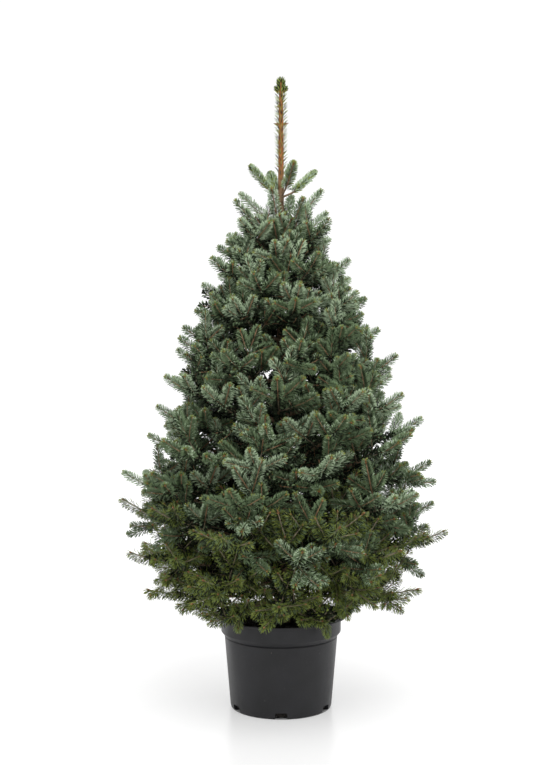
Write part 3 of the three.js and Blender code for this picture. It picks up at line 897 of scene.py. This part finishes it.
def fits(tip):
    distance = math.hypot(tip[0], tip[1])
    clear_of_pot = distance > lip_radius + RIM_ROOM or tip[2] > pot_height + RIM_ROOM
    in_crown = distance <= crown_radius(max(tip[2], pot_height)) * FULL_REACH
    return clear_of_pot and in_crown and tip[2] > LOWEST_TIP


def grow_site(bough, site):
    """The longest twig that fits at a site."""
    length = min(TWIG_LENGTHS[1], max(TWIG_LENGTHS[0], site.length))
    place = site.place - (length - site.length) / bough.line.length
    if not FIRST_TWIG < place < 1:
        return
    foot, ahead = bough.line.at(place), bough.line.heading(place)
    heading, above = turned(ahead, np.cross(ahead, bough.side), site.turn, site.lift)
    for size in TWIG_TRIES:
        if fits(foot + heading * length * size):
            Twig(foot, heading, above, site.hidden).grow(length * size)
            return


for bough, sites in planned:
    if bough.whorl == 0:
        hang_sprig(bough)
    if bough.line.length <= PLAIN_BOUGH:
        grow_plain(bough)
        continue
    if bough.whorl > CLAD_FROM_WHORL:
        start, end = (bough.line.at(place) for place in CLAD_STRETCH)
        Twig(start, bough.line.heading(CLAD_STRETCH[0]), UP).clothe(start, end)
    for site in sites:
        grow_site(bough, site)
whole_length = sum(shoot.line.length for shoot in shoots)
print("twigs:", Twig.count, "shoots:", len(shoots), "in all", round(whole_length, 1), "m")

# %% [markdown]
# ## Needles
# A needle is a flat lance. Four corners are enough: its root, its tip, and the two edges of the blade a
# little above them, which makes a closed shape with a keel below. A picture of a spray on a see-through card
# would be lighter, but it looks flat from the side. Needles stand round the shoot in a spiral, lean forward,
# more so towards the tip, and leave a parting on the underside where the twig shows.

# %% Needles of one shoot
NEEDLE_LENGTH, NEEDLE_WIDTH, NEEDLE_DEPTH = 0.0170, 0.0022, 0.0014
LENGTH_SPREAD = (0.93, 1.04)
WIDEST_PLACE = 0.76
GOLDEN_ANGLE = math.pi * (3 - math.sqrt(5))
PARTING = 0.12
LEANS, LEAN_CURVE = (math.radians(54), math.radians(28)), 7
BLUNT_TIP, BLUNT_CURVE = 0.42, 8
AROUND_SPREAD, LEAN_SPREAD, ROLL_SPREAD = 0.1, math.radians(4), math.radians(10)
CROWDING = 0.82
TWIG_RADIUS, ROOT_PLACE = 0.0013, 0.7
NEEDLE_FACES = [(0, 2, 1), (3, 1, 2), (0, 1, 3), (0, 3, 2)]


@dataclass
class Habit:
    """How the needles of a shoot grow."""
    size: float = 1.0
    width: float = 1.0
    leans: tuple = LEANS
    blunt: float = BLUNT_TIP
    parting: float = PARTING
    droop: float = 0.0
    stem: float = TWIG_RADIUS
    widest: float = WIDEST_PLACE
    loose: float = 1.0


def needles_on(line, above, count, habit):
    """The corners of a shoot's needles: root, left edge, right edge and tip of each."""
    order = np.arange(count)
    share = ((order + 0.5) / count) ** CROWDING
    ahead = line.heading(share)
    side = unit(np.cross(above, ahead))
    top = np.cross(ahead, side)
    around = (order * GOLDEN_ANGLE + rng.normal(0, AROUND_SPREAD, count)) % (2 * math.pi) - math.pi
    around = (around * (1 - habit.parting))[:, None]
    outward = top * np.cos(around) + side * np.sin(around)
    lean = lerp(*habit.leans, share ** LEAN_CURVE) + rng.normal(0, LEAN_SPREAD * habit.loose, count)
    lean = lean[:, None]
    along = unit(ahead * np.cos(lean) + outward * np.sin(lean) - UP * habit.droop)
    flat = unit(np.cross(along, outward))
    roll = rng.normal(0, ROLL_SPREAD, count)[:, None]
    blade = flat * np.cos(roll) + np.cross(along, flat) * np.sin(roll)
    up = np.cross(along, blade)
    length = NEEDLE_LENGTH * habit.size * (1 - habit.blunt * share ** BLUNT_CURVE)
    length = (length * rng.uniform(*LENGTH_SPREAD, count))[:, None]
    root = line.at(share) + outward * habit.stem * ROOT_PLACE
    middle = root + along * length * habit.widest + up * NEEDLE_DEPTH * habit.width
    half = blade * NEEDLE_WIDTH * habit.width / 2
    return np.stack([root, middle + half, middle - half, root + along * length], axis=1)


print("a needle is", 1000 * NEEDLE_LENGTH, "by", 1000 * NEEDLE_WIDTH, "mm")

# %% [markdown]
# ## Colours of the sprays
# The crown is grey-green with a pale bloom where it is young and open to the light, darker inside as painted
# shade, and mossy to yellow-green low down. Such colours have a place, so they are plain colours dealt out by
# spray: each spray draws how pale it is, which sets the shares of its tones. Sprays are paler high up as
# painted light, with some olive at the very top, and duller low down as painted shade. The mossy ones turn
# greyer and more shaded higher up.

# %% Tones of a spray
PALE_CURVE = 1.3
TOP_LIGHT_FROM, TOP_LIGHT_BY = 0.8, 0.8
LOW_SHADE_BELOW, LOW_SHADE_BY = 0.48, 3.5
TOP_SHOOTS, TOP_OLIVE, TOP_SHADE = 1.07, 0.35, 0.07
LEAST_SAGE, LEAST_SHADE = 0.1, 0.03
SHADED_FROM, SHADED_BY, GREYER_BY = 0.32, 2.5, 5.0
MOSSY_OUTER = {"moss": 0.75, "fresh": 0.25, "sage": 0.25, "shade": 0.05}
# Shoots in the shade inside the crown take mostly the dark tones, as painted shade.
MOSSY_INNER, PLAIN_INNER = {"shade": 0.8, "moss": 0.2}, {"blue_green_shade": 0.8, "sage": 0.2}
TONES = {
    "bloom": ("#a8ba9b", "#8fa284", "blue_green_needles"),
    "sage": ("#6f8360", "#5a6d4e", "blue_green_needles"),
    "blue_green_shade": ("#222d1a", "#182111", "blue_green_needles"),
    "moss": ("#859447", "#6b7a36", "olive_needles"),
    "shade": ("#202813", "#171d0d", "olive_needles"),
    "fresh": ("#868f4a", "#6f7639", "olive_needles"),
}
# The two darkest tones are painted shade.
SHADE_TONES = ("blue_green_shade", "shade")

pale_shares = rng.beta(PALE_CURVE, PALE_CURVE, Twig.count + 1)
# Hidden sprays get no bloom, which paints them darker as shade.
pale_shares[hidden_sprays] = 0


def at_top(shoot):
    return shoot.line.points[0, 2] > TOP_SHOOTS


def mossy_tones(height, pale):
    rise = max(0, height - SHADED_FROM)
    shares = dict(MOSSY_OUTER)
    shares["fresh"] *= pale
    shares["sage"] += GREYER_BY * rise
    shares["shade"] += SHADED_BY * rise
    return shares


def plain_tones(height, pale, top):
    # Paler high up as painted light from above, and duller low down as painted shade.
    pale = min(1, pale + TOP_LIGHT_BY * max(0, height - TOP_LIGHT_FROM))
    pale *= 1 - LOW_SHADE_BY * max(0, LOW_SHADE_BELOW - height)
    shares = {"bloom": pale ** 2, "sage": (1 - pale) ** 2 + LEAST_SAGE, "blue_green_shade": LEAST_SHADE, "moss": 0}
    if top:
        shares["blue_green_shade"] += TOP_SHADE
        shares["moss"] += TOP_OLIVE
    return shares


def tones_of(shoot):
    """The tones of a shoot's needles and the share of each."""
    if shoot.inner:
        return MOSSY_INNER if shoot.mossy else PLAIN_INNER
    height, pale = shoot.line.points[0, 2], pale_shares[shoot.spray]
    return mossy_tones(height, pale) if shoot.mossy else plain_tones(height, pale, at_top(shoot))


print("sprays:", Twig.count, "of them dull and hidden:", len(hidden_sprays))

# %% [markdown]
# Young shoots on the outside carry the most needles, and those at the very top still more: they stand free
# against the white and are seen from below, so their parting is wide. Old and shaded stretches have few but
# broad needles, which fill the inside with little geometry. Mossy shoots have long, thin, drooping ones.
# Half of the needles that point down take the darkest tone as painted shade under the shoot, and the last
# ones round each bud are the yellowest.

# %% Deal out the needles
NEEDLE_BUDGET, FEWEST_NEEDLES = 222000, 10
OLD_DENSITY, INNER_DENSITY, MOSS_DENSITY, TOP_DENSITY = 0.3, 0.34, 1.15, 1.9
OLD_HABIT, INNER_HABIT, TOP_HABIT = Habit(width=1.3), Habit(width=2.15), Habit(parting=0.3)
MOSS_LEANS = (math.radians(54), math.radians(16))
MOSS_HABIT = Habit(size=1.12, width=0.6, leans=MOSS_LEANS, blunt=0.2, droop=0.6, loose=2.5)
FRESH_TIP = 0.04
UNDERSIDE, UNDERSIDE_SHADE = 0.5, 0.5

needles = {tone: [] for tone in TONES}


def density(shoot):
    if shoot.old or shoot.inner:
        return OLD_DENSITY if shoot.old else INNER_DENSITY
    if at_top(shoot):
        return TOP_DENSITY
    return MOSS_DENSITY if shoot.mossy else 1.0


def habit_of(shoot):
    if shoot.old or shoot.inner:
        return INNER_HABIT if shoot.inner else OLD_HABIT
    if at_top(shoot):
        return TOP_HABIT
    return MOSS_HABIT if shoot.mossy else Habit()


needles_per_metre = NEEDLE_BUDGET / sum(shoot.line.length * density(shoot) for shoot in shoots)
for shoot in shoots:
    count = max(FEWEST_NEEDLES, round(shoot.line.length * density(shoot) * needles_per_metre))
    corners = needles_on(shoot.line, shoot.above, count, habit_of(shoot))
    tones = tones_of(shoot)
    weights = np.array(list(tones.values()))
    choice = rng.choice(len(tones), count, p=weights / weights.sum())
    # Half of the needles that point down take the darkest tone, as painted shade under the shoot.
    below = (corners[:, 3] - corners[:, 0]) @ shoot.above < -UNDERSIDE * NEEDLE_LENGTH
    shade_tone = [tone in SHADE_TONES for tone in tones].index(True)
    choice[below & (rng.random(count) < UNDERSIDE_SHADE)] = shade_tone
    at_tip = (np.arange(count) >= count * (1 - FRESH_TIP)) & (not (shoot.inner or shoot.old))
    needles["fresh"].append(corners[at_tip])
    for number, tone in enumerate(tones):
        needles[tone].append(corners[(choice == number) & ~at_tip])
print("needles to a centimetre of outer shoot:", round(needles_per_metre / 100, 1))
print({tone: sum(len(part) for part in parts) for tone, parts in needles.items()})

# %% [markdown]
# ## Leader
# The top shoot grew long and stayed bare of boughs. Short needles in three tones stand off its stem. At its
# tip a round tuft of upright needles and two small tufts beside it surround the buds, half of them dark. They
# are made by the same helper as all other needles, only with habits of their own.

# %% Leader needles
LEADER_NEEDLES, TUFT_NEEDLES, SIDE_TUFT_NEEDLES = 180, 120, 30
STEM_TONES, TUFT_TONES = ("blue_green_shade", "moss", "fresh"), ("moss", "shade")
TUFT_START = 0.024
SIDE_TUFTS = ((0.004, 1.317), (0.010, 1.325))
STEM_LEANS = (math.radians(46), math.radians(40))
TUFT_LEANS = (math.radians(30), math.radians(4))
SIDE_TUFT_LEANS = (math.radians(46), math.radians(10))
STEM_HABIT = Habit(width=1.1, leans=STEM_LEANS, blunt=0, parting=0, stem=0.0068, widest=0.45)
TUFT_HABIT = Habit(width=1.1, leans=TUFT_LEANS, blunt=0, parting=0.1, stem=0.004, widest=0.6)
SIDE_TUFT_HABIT = Habit(size=0.45, leans=SIDE_TUFT_LEANS, blunt=0, parting=0)

leader_low, leader_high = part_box("leader_spray")
trunk_low, trunk_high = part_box("trunk")
tuft_height = trunk_high.z - TUFT_START


def straight(start, end):
    start, end = np.array(start, float), np.array(end, float)
    return BentLine(start, (start + end) / 2, end)


def deal(corners, tones):
    """Needles dealt out to some tones in turn."""
    for start, tone in enumerate(tones):
        needles[tone].append(corners[start::len(tones)])


tuft_line = straight((0, 0, tuft_height), (0, 0, trunk_high.z))
deal(needles_on(tuft_line, BACK, TUFT_NEEDLES, TUFT_HABIT), TUFT_TONES)
for hand in (-1, 1):
    side_line = straight(*((hand * out, 0, height) for out, height in SIDE_TUFTS))
    deal(needles_on(side_line, BACK, SIDE_TUFT_NEEDLES, SIDE_TUFT_HABIT), TUFT_TONES)
stem_line = straight((0, 0, leader_low.z), (0, 0, tuft_height))
deal(needles_on(stem_line, BACK, LEADER_NEEDLES, STEM_HABIT), STEM_TONES)
print("leader from", round(leader_low.z, 3), "to", round(leader_high.z, 3), "m")

# %% [markdown]
# A needle has a waxy skin that is never quite even. Each tone is one finish of two close colours in soft
# patches, with a little unevenness in its gloss. All needles of a tone are joined, and a mesh that would grow
# too large to handle is split into parts. Together they stand for the frame's masses of foliage.

# %% Needle finishes and pieces
NEEDLES_IN_PIECE = 49000
PATCH_GRAIN, WAX_GRAIN = 55, 140
PATCHES_FROM, PATCHES_FULL = 0.3, 0.7
NEEDLE_ROUGHNESS, NEEDLE_GLOSS = (0.48, 0.66), 0.2
OLIVE_WHORLS = 3


def needle_finish(tone, light, dark):
    material, tree, shader = new_material(f"needles_{tone}")
    patches = mottle(tree, PATCH_GRAIN, low=PATCHES_FROM, high=PATCHES_FULL)
    tree.links.new(mixed(tree, patches, dark, light), shader.inputs["Base Color"])
    tree.links.new(ranged(tree, mottle(tree, WAX_GRAIN), *NEEDLE_ROUGHNESS), shader.inputs["Roughness"])
    shader.inputs["Specular IOR Level"].default_value = NEEDLE_GLOSS
    return material


def node_name(kind, bough):
    return f"{kind}_{int(bough.whorl) + 1}_{bough.spoke + 1}"


foliage_nodes = {tone: [] for tone in TONES}
for bough in boughs:
    if in_whorl(bough):
        foliage_nodes["moss" if bough.whorl < OLIVE_WHORLS else "sage"].append(node_name("foliage", bough))
foliage_nodes["blue_green_shade"].append("leader_spray")
for tone, (light, dark, slot) in TONES.items():
    finish = needle_finish(tone, light, dark)
    corners = np.concatenate(needles[tone])
    parts = np.array_split(corners, math.ceil(len(corners) / NEEDLES_IN_PIECE))
    for number, part in enumerate(parts):
        faces = copies(len(part), part.shape[1], NEEDLE_FACES)
        mesh = mesh_from_arrays(f"needles_{tone}", part.reshape(-1, 3), faces)
        add_piece(f"needles_{tone}_{number + 1}", mesh, finish, slot, *foliage_nodes[tone])

# %% [markdown]
# ## Twig bark
# Under the needles each shoot has its own bark: orange-brown while it is young, grey-brown when it is older
# or in the mossy skirt. Curves with a round bevel would do, but thousands of thin tubes are needed, so they
# come from arrays too, as two joined meshes.

# %% Twig tubes
TWIG_RINGS, TWIG_SIDES = 3, 4
TWIG_TAPER, OLD_TWIG_SIZE = 0.6, 1.35
TWIG_GRAIN, SCALE_GRAIN, SCALE_DEPTH = 150, 700, 0.0006
TWIG_ROUGHNESS, TWIG_SHEEN_GRAIN = (0.6, 0.85), 90
TWIG_KINDS = (
    ("young_twigs", False, TWIG_RADIUS, "#a88462", "#80634a"),
    ("old_twigs", True, TWIG_RADIUS * OLD_TWIG_SIZE, "#94886f", "#6c6350"),
)


def tubes(chosen, radius):
    """Closed tapering tubes along many shoots, as points and triangles."""
    share = np.linspace(0, 1, TWIG_RINGS)
    size = radius * lerp(1, TWIG_TAPER, share)
    angle = 2 * math.pi * np.arange(TWIG_SIDES) / TWIG_SIDES
    rings = []
    for shoot in chosen:
        ahead = shoot.line.heading(share)
        side = unit(np.cross(shoot.above, ahead))
        top = np.cross(ahead, side)
        rim = top[:, None] * np.cos(angle)[:, None] + side[:, None] * np.sin(angle)[:, None]
        rings.append(shoot.line.at(share)[:, None] + rim * size[:, None, None])
    faces = []
    for ring in range(TWIG_RINGS - 1):
        for i in range(TWIG_SIDES):
            a, b = ring * TWIG_SIDES + i, ring * TWIG_SIDES + (i + 1) % TWIG_SIDES
            faces += [(a, b, b + TWIG_SIDES), (a, b + TWIG_SIDES, a + TWIG_SIDES)]
    last = (TWIG_RINGS - 1) * TWIG_SIDES
    for i in range(1, TWIG_SIDES - 1):
        faces += [(0, i + 1, i), (last, last + i, last + i + 1)]
    return np.stack(rings).reshape(-1, 3), copies(len(chosen), TWIG_RINGS * TWIG_SIDES, faces)


def twig_finish(name, light, dark):
    material, tree, shader = new_material(name)
    tree.links.new(mixed(tree, mottle(tree, TWIG_GRAIN), dark, light), shader.inputs["Base Color"])
    sheen = mottle(tree, TWIG_SHEEN_GRAIN)
    tree.links.new(ranged(tree, sheen, *TWIG_ROUGHNESS), shader.inputs["Roughness"])
    bumped(tree, shader, mottle(tree, SCALE_GRAIN), SCALE_DEPTH)
    return material


for name, old, radius, light, dark in TWIG_KINDS:
    chosen = [shoot for shoot in shoots if (shoot.old or shoot.mossy) == old]
    mesh = mesh_from_arrays(name, *tubes(chosen, radius))
    mesh.shade_smooth()
    add_piece(name, mesh, twig_finish(name, light, dark), "bark")

# %% [markdown]
# ## Buds
# A pointed brown bud sits at the end of every young shoot on the outside. A finer mesh could show its
# scales, but thousands are needed and nobody sees more of so small a thing. So one spindle of a few faces
# is drawn, and a helper turns and scales it for each bud.

# %% One bud
BUD_LENGTH, BUD_RADIUS = 0.0062, 0.0024
BUD_SIDES = 4
BUD_SECTION = ((0, 0.6), (0.4, 1.0))


def spindle():
    """The points and triangles of one bud that points along Z."""
    angle = 2 * math.pi * np.arange(BUD_SIDES) / BUD_SIDES
    rings = [(BUD_RADIUS * size * np.cos(a), BUD_RADIUS * size * np.sin(a), BUD_LENGTH * along)
             for along, size in BUD_SECTION for a in angle]
    apex = len(rings)
    faces = [(0, i + 1, i) for i in range(1, BUD_SIDES - 1)]
    for i in range(BUD_SIDES):
        j = (i + 1) % BUD_SIDES
        faces += [(i, j, j + BUD_SIDES), (i, j + BUD_SIDES, i + BUD_SIDES)]
        faces.append((i + BUD_SIDES, j + BUD_SIDES, apex))
    return np.array(rings + [(0, 0, BUD_LENGTH)]), faces


def bud_at(place, ahead, above, long, wide):
    side = unit(np.cross(above, ahead))
    return (wide, wide, long) * bud_shape @ np.stack([side, np.cross(ahead, side), ahead]) + place


bud_shape, bud_faces = spindle()
print("a bud has", len(bud_faces), "faces")

# %% [markdown]
# Strong shoots carry two smaller buds beside the one at their end. On the leader, buds break from both sides
# in several places, and the largest ends it. They could be drawn at random too, but these few show clearly,
# so they are listed: a row is a bud's height, how long and how wide it is, and its side.

# %% Buds in place
STRONG_SHOOT = 0.066
SIDE_BUD_SIZE, SIDE_BUD_PLACE = 0.8, 0.96
SPUR_SPREAD, SPUR_RISE = 0.3, 0.3
BUD_TONES = ("#9a7146", "#74502f")
LEADER_BUDS = (
    (1.318, 2.9, 1.5, 1),
    (1.318, 2.9, 1.5, -1),
    (1.2465, 3.2, 1.2, 1),
    (1.2465, 3.2, 1.2, -1),
    (1.306, 1.7, 1.0, 1),
    (1.284, 1.8, 1.0, -1),
    (1.222, 1.8, 0.9, 1),
    (1.205, 1.8, 0.9, -1),
    (1.176, 1.9, 0.9, 1),
    (1.155, 1.8, 0.9, -1),
)
TIP_BUD = (1.325, 3.6, 2.2)

buds = []
for shoot in shoots:
    if shoot.old or shoot.inner:
        continue
    ahead = shoot.line.heading(1.0)
    buds.append(bud_at(shoot.line.at(1.0), ahead, shoot.above, 1.0, 1.0))
    for hand in (-1, 1) if shoot.line.length > STRONG_SHOOT else ():
        way, top = turned(ahead, shoot.above, hand * FORK_TURN, 0)
        buds.append(bud_at(shoot.line.at(SIDE_BUD_PLACE), way, top, SIDE_BUD_SIZE, SIDE_BUD_SIZE))
for height, long, wide, hand in LEADER_BUDS:
    way = unit(np.array([hand, rng.normal(0, SPUR_SPREAD), SPUR_RISE]))
    buds.append(bud_at(UP * height, way, UP, long, wide))
tip_height, tip_long, tip_wide = TIP_BUD
buds.append(bud_at(UP * tip_height, UP, BACK, tip_long, tip_wide))
bud_mesh = mesh_from_arrays("buds", np.concatenate(buds), copies(len(buds), len(bud_shape), bud_faces))
bud_mesh.shade_smooth()
add_piece("buds", bud_mesh, twig_finish("bud_scales", *BUD_TONES), "bark")

# %% [markdown]
# ## Limbs
# Trunk and boughs are limbs of the same make: a ring of vertices, extruded step by step along a line while it
# turns and shrinks. A curve with a bevel gives the same tube, but only a mesh can take relief. Noise then
# moves the surface in and out, drawn out along the trunk, so that the bark's flakes also show in the outline.

# %% Limbs by extrusion
BARK_FRACTAL = (1.0, 2.1, 4)
FLAKE_STRETCH = 3


def limb(bm, points, radii, sides):
    """A closed limb through some points, with a radius at each."""
    points = [Vector(p) for p in points]
    ways = [(b - a).normalized() for a, b in zip(points, points[1:])]
    places = [Matrix.LocRotScale(p, w.to_track_quat("Z", "Y"), Vector((r, r, r)))
              for p, w, r in zip(points, [*ways, ways[-1]], radii)]
    ring = bmesh.ops.create_circle(bm, cap_ends=True, radius=1, segments=sides, matrix=places[0])["verts"]
    edges = list(dict.fromkeys(edge for vert in ring for edge in vert.link_edges))
    for before, after in zip(places, places[1:]):
        made = bmesh.ops.extrude_edge_only(bm, edges=edges)["geom"]
        ring = [part for part in made if isinstance(part, bmesh.types.BMVert)]
        edges = [part for part in made if isinstance(part, bmesh.types.BMEdge)]
        bmesh.ops.transform(bm, matrix=after @ before.inverted(), verts=ring)
    bmesh.ops.contextual_create(bm, geom=edges)


def relief_at(place, grain):
    drawn_out = Vector((place.x * grain, place.y * grain, place.z * grain / FLAKE_STRETCH))
    return noise.fractal(drawn_out, *BARK_FRACTAL)


def roughen(bm, grain, depth):
    bmesh.ops.recalc_face_normals(bm, faces=bm.faces)
    bm.normal_update()
    moves = [depth * relief_at(vert.co, grain) for vert in bm.verts]
    for vert, move in zip(bm.verts, moves):
        vert.co += vert.normal * move


print("flakes are", FLAKE_STRETCH, "times as high as wide")

# %% [markdown]
# The trunk is one straight stem. It widens to its roots at the compost and tapers evenly up to the leader.
# Its ends are read from the frame. Near the tip its bark is a little thicker than the solid, because the real
# leader stays stout to its end.

# %% Trunk
TRUNK_FOOT, TRUNK_TIP, TRUNK_TAPER = 0.014, 0.0046, 0.9
ROOT_FLARE, ROOT_FLARE_HEIGHT = 0.007, 0.016
TRUNK_SIDES, TRUNK_STEPS = 22, 190
TRUNK_GRAIN, TRUNK_RELIEF = 160, 0.0007


def trunk_radius(height):
    climb = (height - trunk_low.z) / (trunk_high.z - trunk_low.z)
    taper = lerp(TRUNK_FOOT, TRUNK_TIP, max(0, climb) ** TRUNK_TAPER)
    return taper + ROOT_FLARE * math.exp((trunk_low.z - height) / ROOT_FLARE_HEIGHT)


bm = bmesh.new()
heights = np.linspace(trunk_low.z, trunk_high.z, TRUNK_STEPS)
limb(bm, [(0, 0, z) for z in heights], [trunk_radius(z) for z in heights], TRUNK_SIDES)
roughen(bm, TRUNK_GRAIN, TRUNK_RELIEF)
trunk_mesh = mesh_from(bm, "trunk")
print("trunk is", round(2 * trunk_radius(trunk_low.z), 3), "m across at the compost")

# %% [markdown]
# Old bark is grey-brown, with flakes drawn out along the stem. On the leader it is still the orange-brown of
# young wood. Painting that by hand would be one more map to keep, and the change only follows the height, so
# it is read from the Z of the Object coordinates.

# %% Bark
BARK_ROUGHNESS, BARK_GLOSS, DRY_GRAIN = (0.72, 0.95), 0.25, 60
FLAKE_SHAPE, FLAKES_FROM, FLAKES_FULL, FLAKE_DEPTH = (1, 1, 0.35), 0.38, 0.6, 0.0015
TRUNK_TONES, TRUNK_FLAKES = ("#463829", "#77624b"), 220
LEADER_TONES, LEADER_FLAKES, LEADER_SHAPE = ("#613c20", "#ae7744"), 380, (1, 1, 0.4)
YOUNG_FROM, YOUNG_FULL = 1.09, 1.17


def bark_finish(name, tones, grain):
    material, tree, shader = new_material(name)
    flakes = mottle(tree, grain, FLAKE_SHAPE, FLAKES_FROM, FLAKES_FULL)
    tone = mixed(tree, flakes, *tones)
    tree.links.new(ranged(tree, mottle(tree, DRY_GRAIN), *BARK_ROUGHNESS), shader.inputs["Roughness"])
    bumped(tree, shader, flakes, FLAKE_DEPTH)
    shader.inputs["Specular IOR Level"].default_value = BARK_GLOSS
    return material, tree, shader, tone


bark, tree, shader, tone = bark_finish("trunk_bark", TRUNK_TONES, TRUNK_FLAKES)
place = tree.nodes.new("ShaderNodeTexCoord")
split = tree.nodes.new("ShaderNodeSeparateXYZ")
young = tree.nodes.new("ShaderNodeMapRange")
young.inputs["From Min"].default_value = YOUNG_FROM
young.inputs["From Max"].default_value = YOUNG_FULL
tree.links.new(place.outputs["Object"], split.inputs["Vector"])
tree.links.new(split.outputs["Z"], young.inputs["Value"])
leader_tone = mixed(tree, mottle(tree, LEADER_FLAKES, LEADER_SHAPE), *LEADER_TONES)
tree.links.new(mixed(tree, young.outputs["Result"], tone, leader_tone), shader.inputs["Base Color"])
add_piece("trunk_bark", trunk_mesh, bark, "bark", "trunk")

# %% [markdown]
# The boughs are the same kind of limb, thinner and with finer relief. Each has a collar where it leaves the
# trunk and ends where its last twig begins. They share one finish, so they are one mesh. It stands for the
# ten bare limbs of the two lowest whorls. The boughs higher up have no solid but their mass of foliage.

# %% Boughs
BOUGH_SIDES, BOUGH_STEPS, BOUGH_START = 8, 16, 0.02
BOUGH_TIP_SHARE, BOUGH_COLLAR, COLLAR_FADE = 0.35, 0.35, 18
BOUGH_GRAIN, BOUGH_RELIEF = 260, 0.0005
BOUGH_TONES, BOUGH_FLAKES = ("#5f4e38", "#97816a"), 300
LIMB_WHORLS = 2

bm = bmesh.new()
for bough in boughs:
    end = 1 - min(LONGEST_TWIG / bough.line.length, TIP_SHARE)
    share = np.linspace(BOUGH_START, end, BOUGH_STEPS)
    radii = bough.radius * (lerp(1, BOUGH_TIP_SHARE, share) + BOUGH_COLLAR * np.exp(-share * COLLAR_FADE))
    limb(bm, bough.line.at(share), radii, BOUGH_SIDES)
roughen(bm, BOUGH_GRAIN, BOUGH_RELIEF)
limb_bark, tree, shader, tone = bark_finish("bough_bark", BOUGH_TONES, BOUGH_FLAKES)
tree.links.new(tone, shader.inputs["Base Color"])
limb_nodes = [node_name("bough", bough) for bough in boughs if in_whorl(bough) and bough.whorl < LIMB_WHORLS]
add_piece("bough_bark", mesh_from(bm, "boughs"), limb_bark, "bark", *limb_nodes)
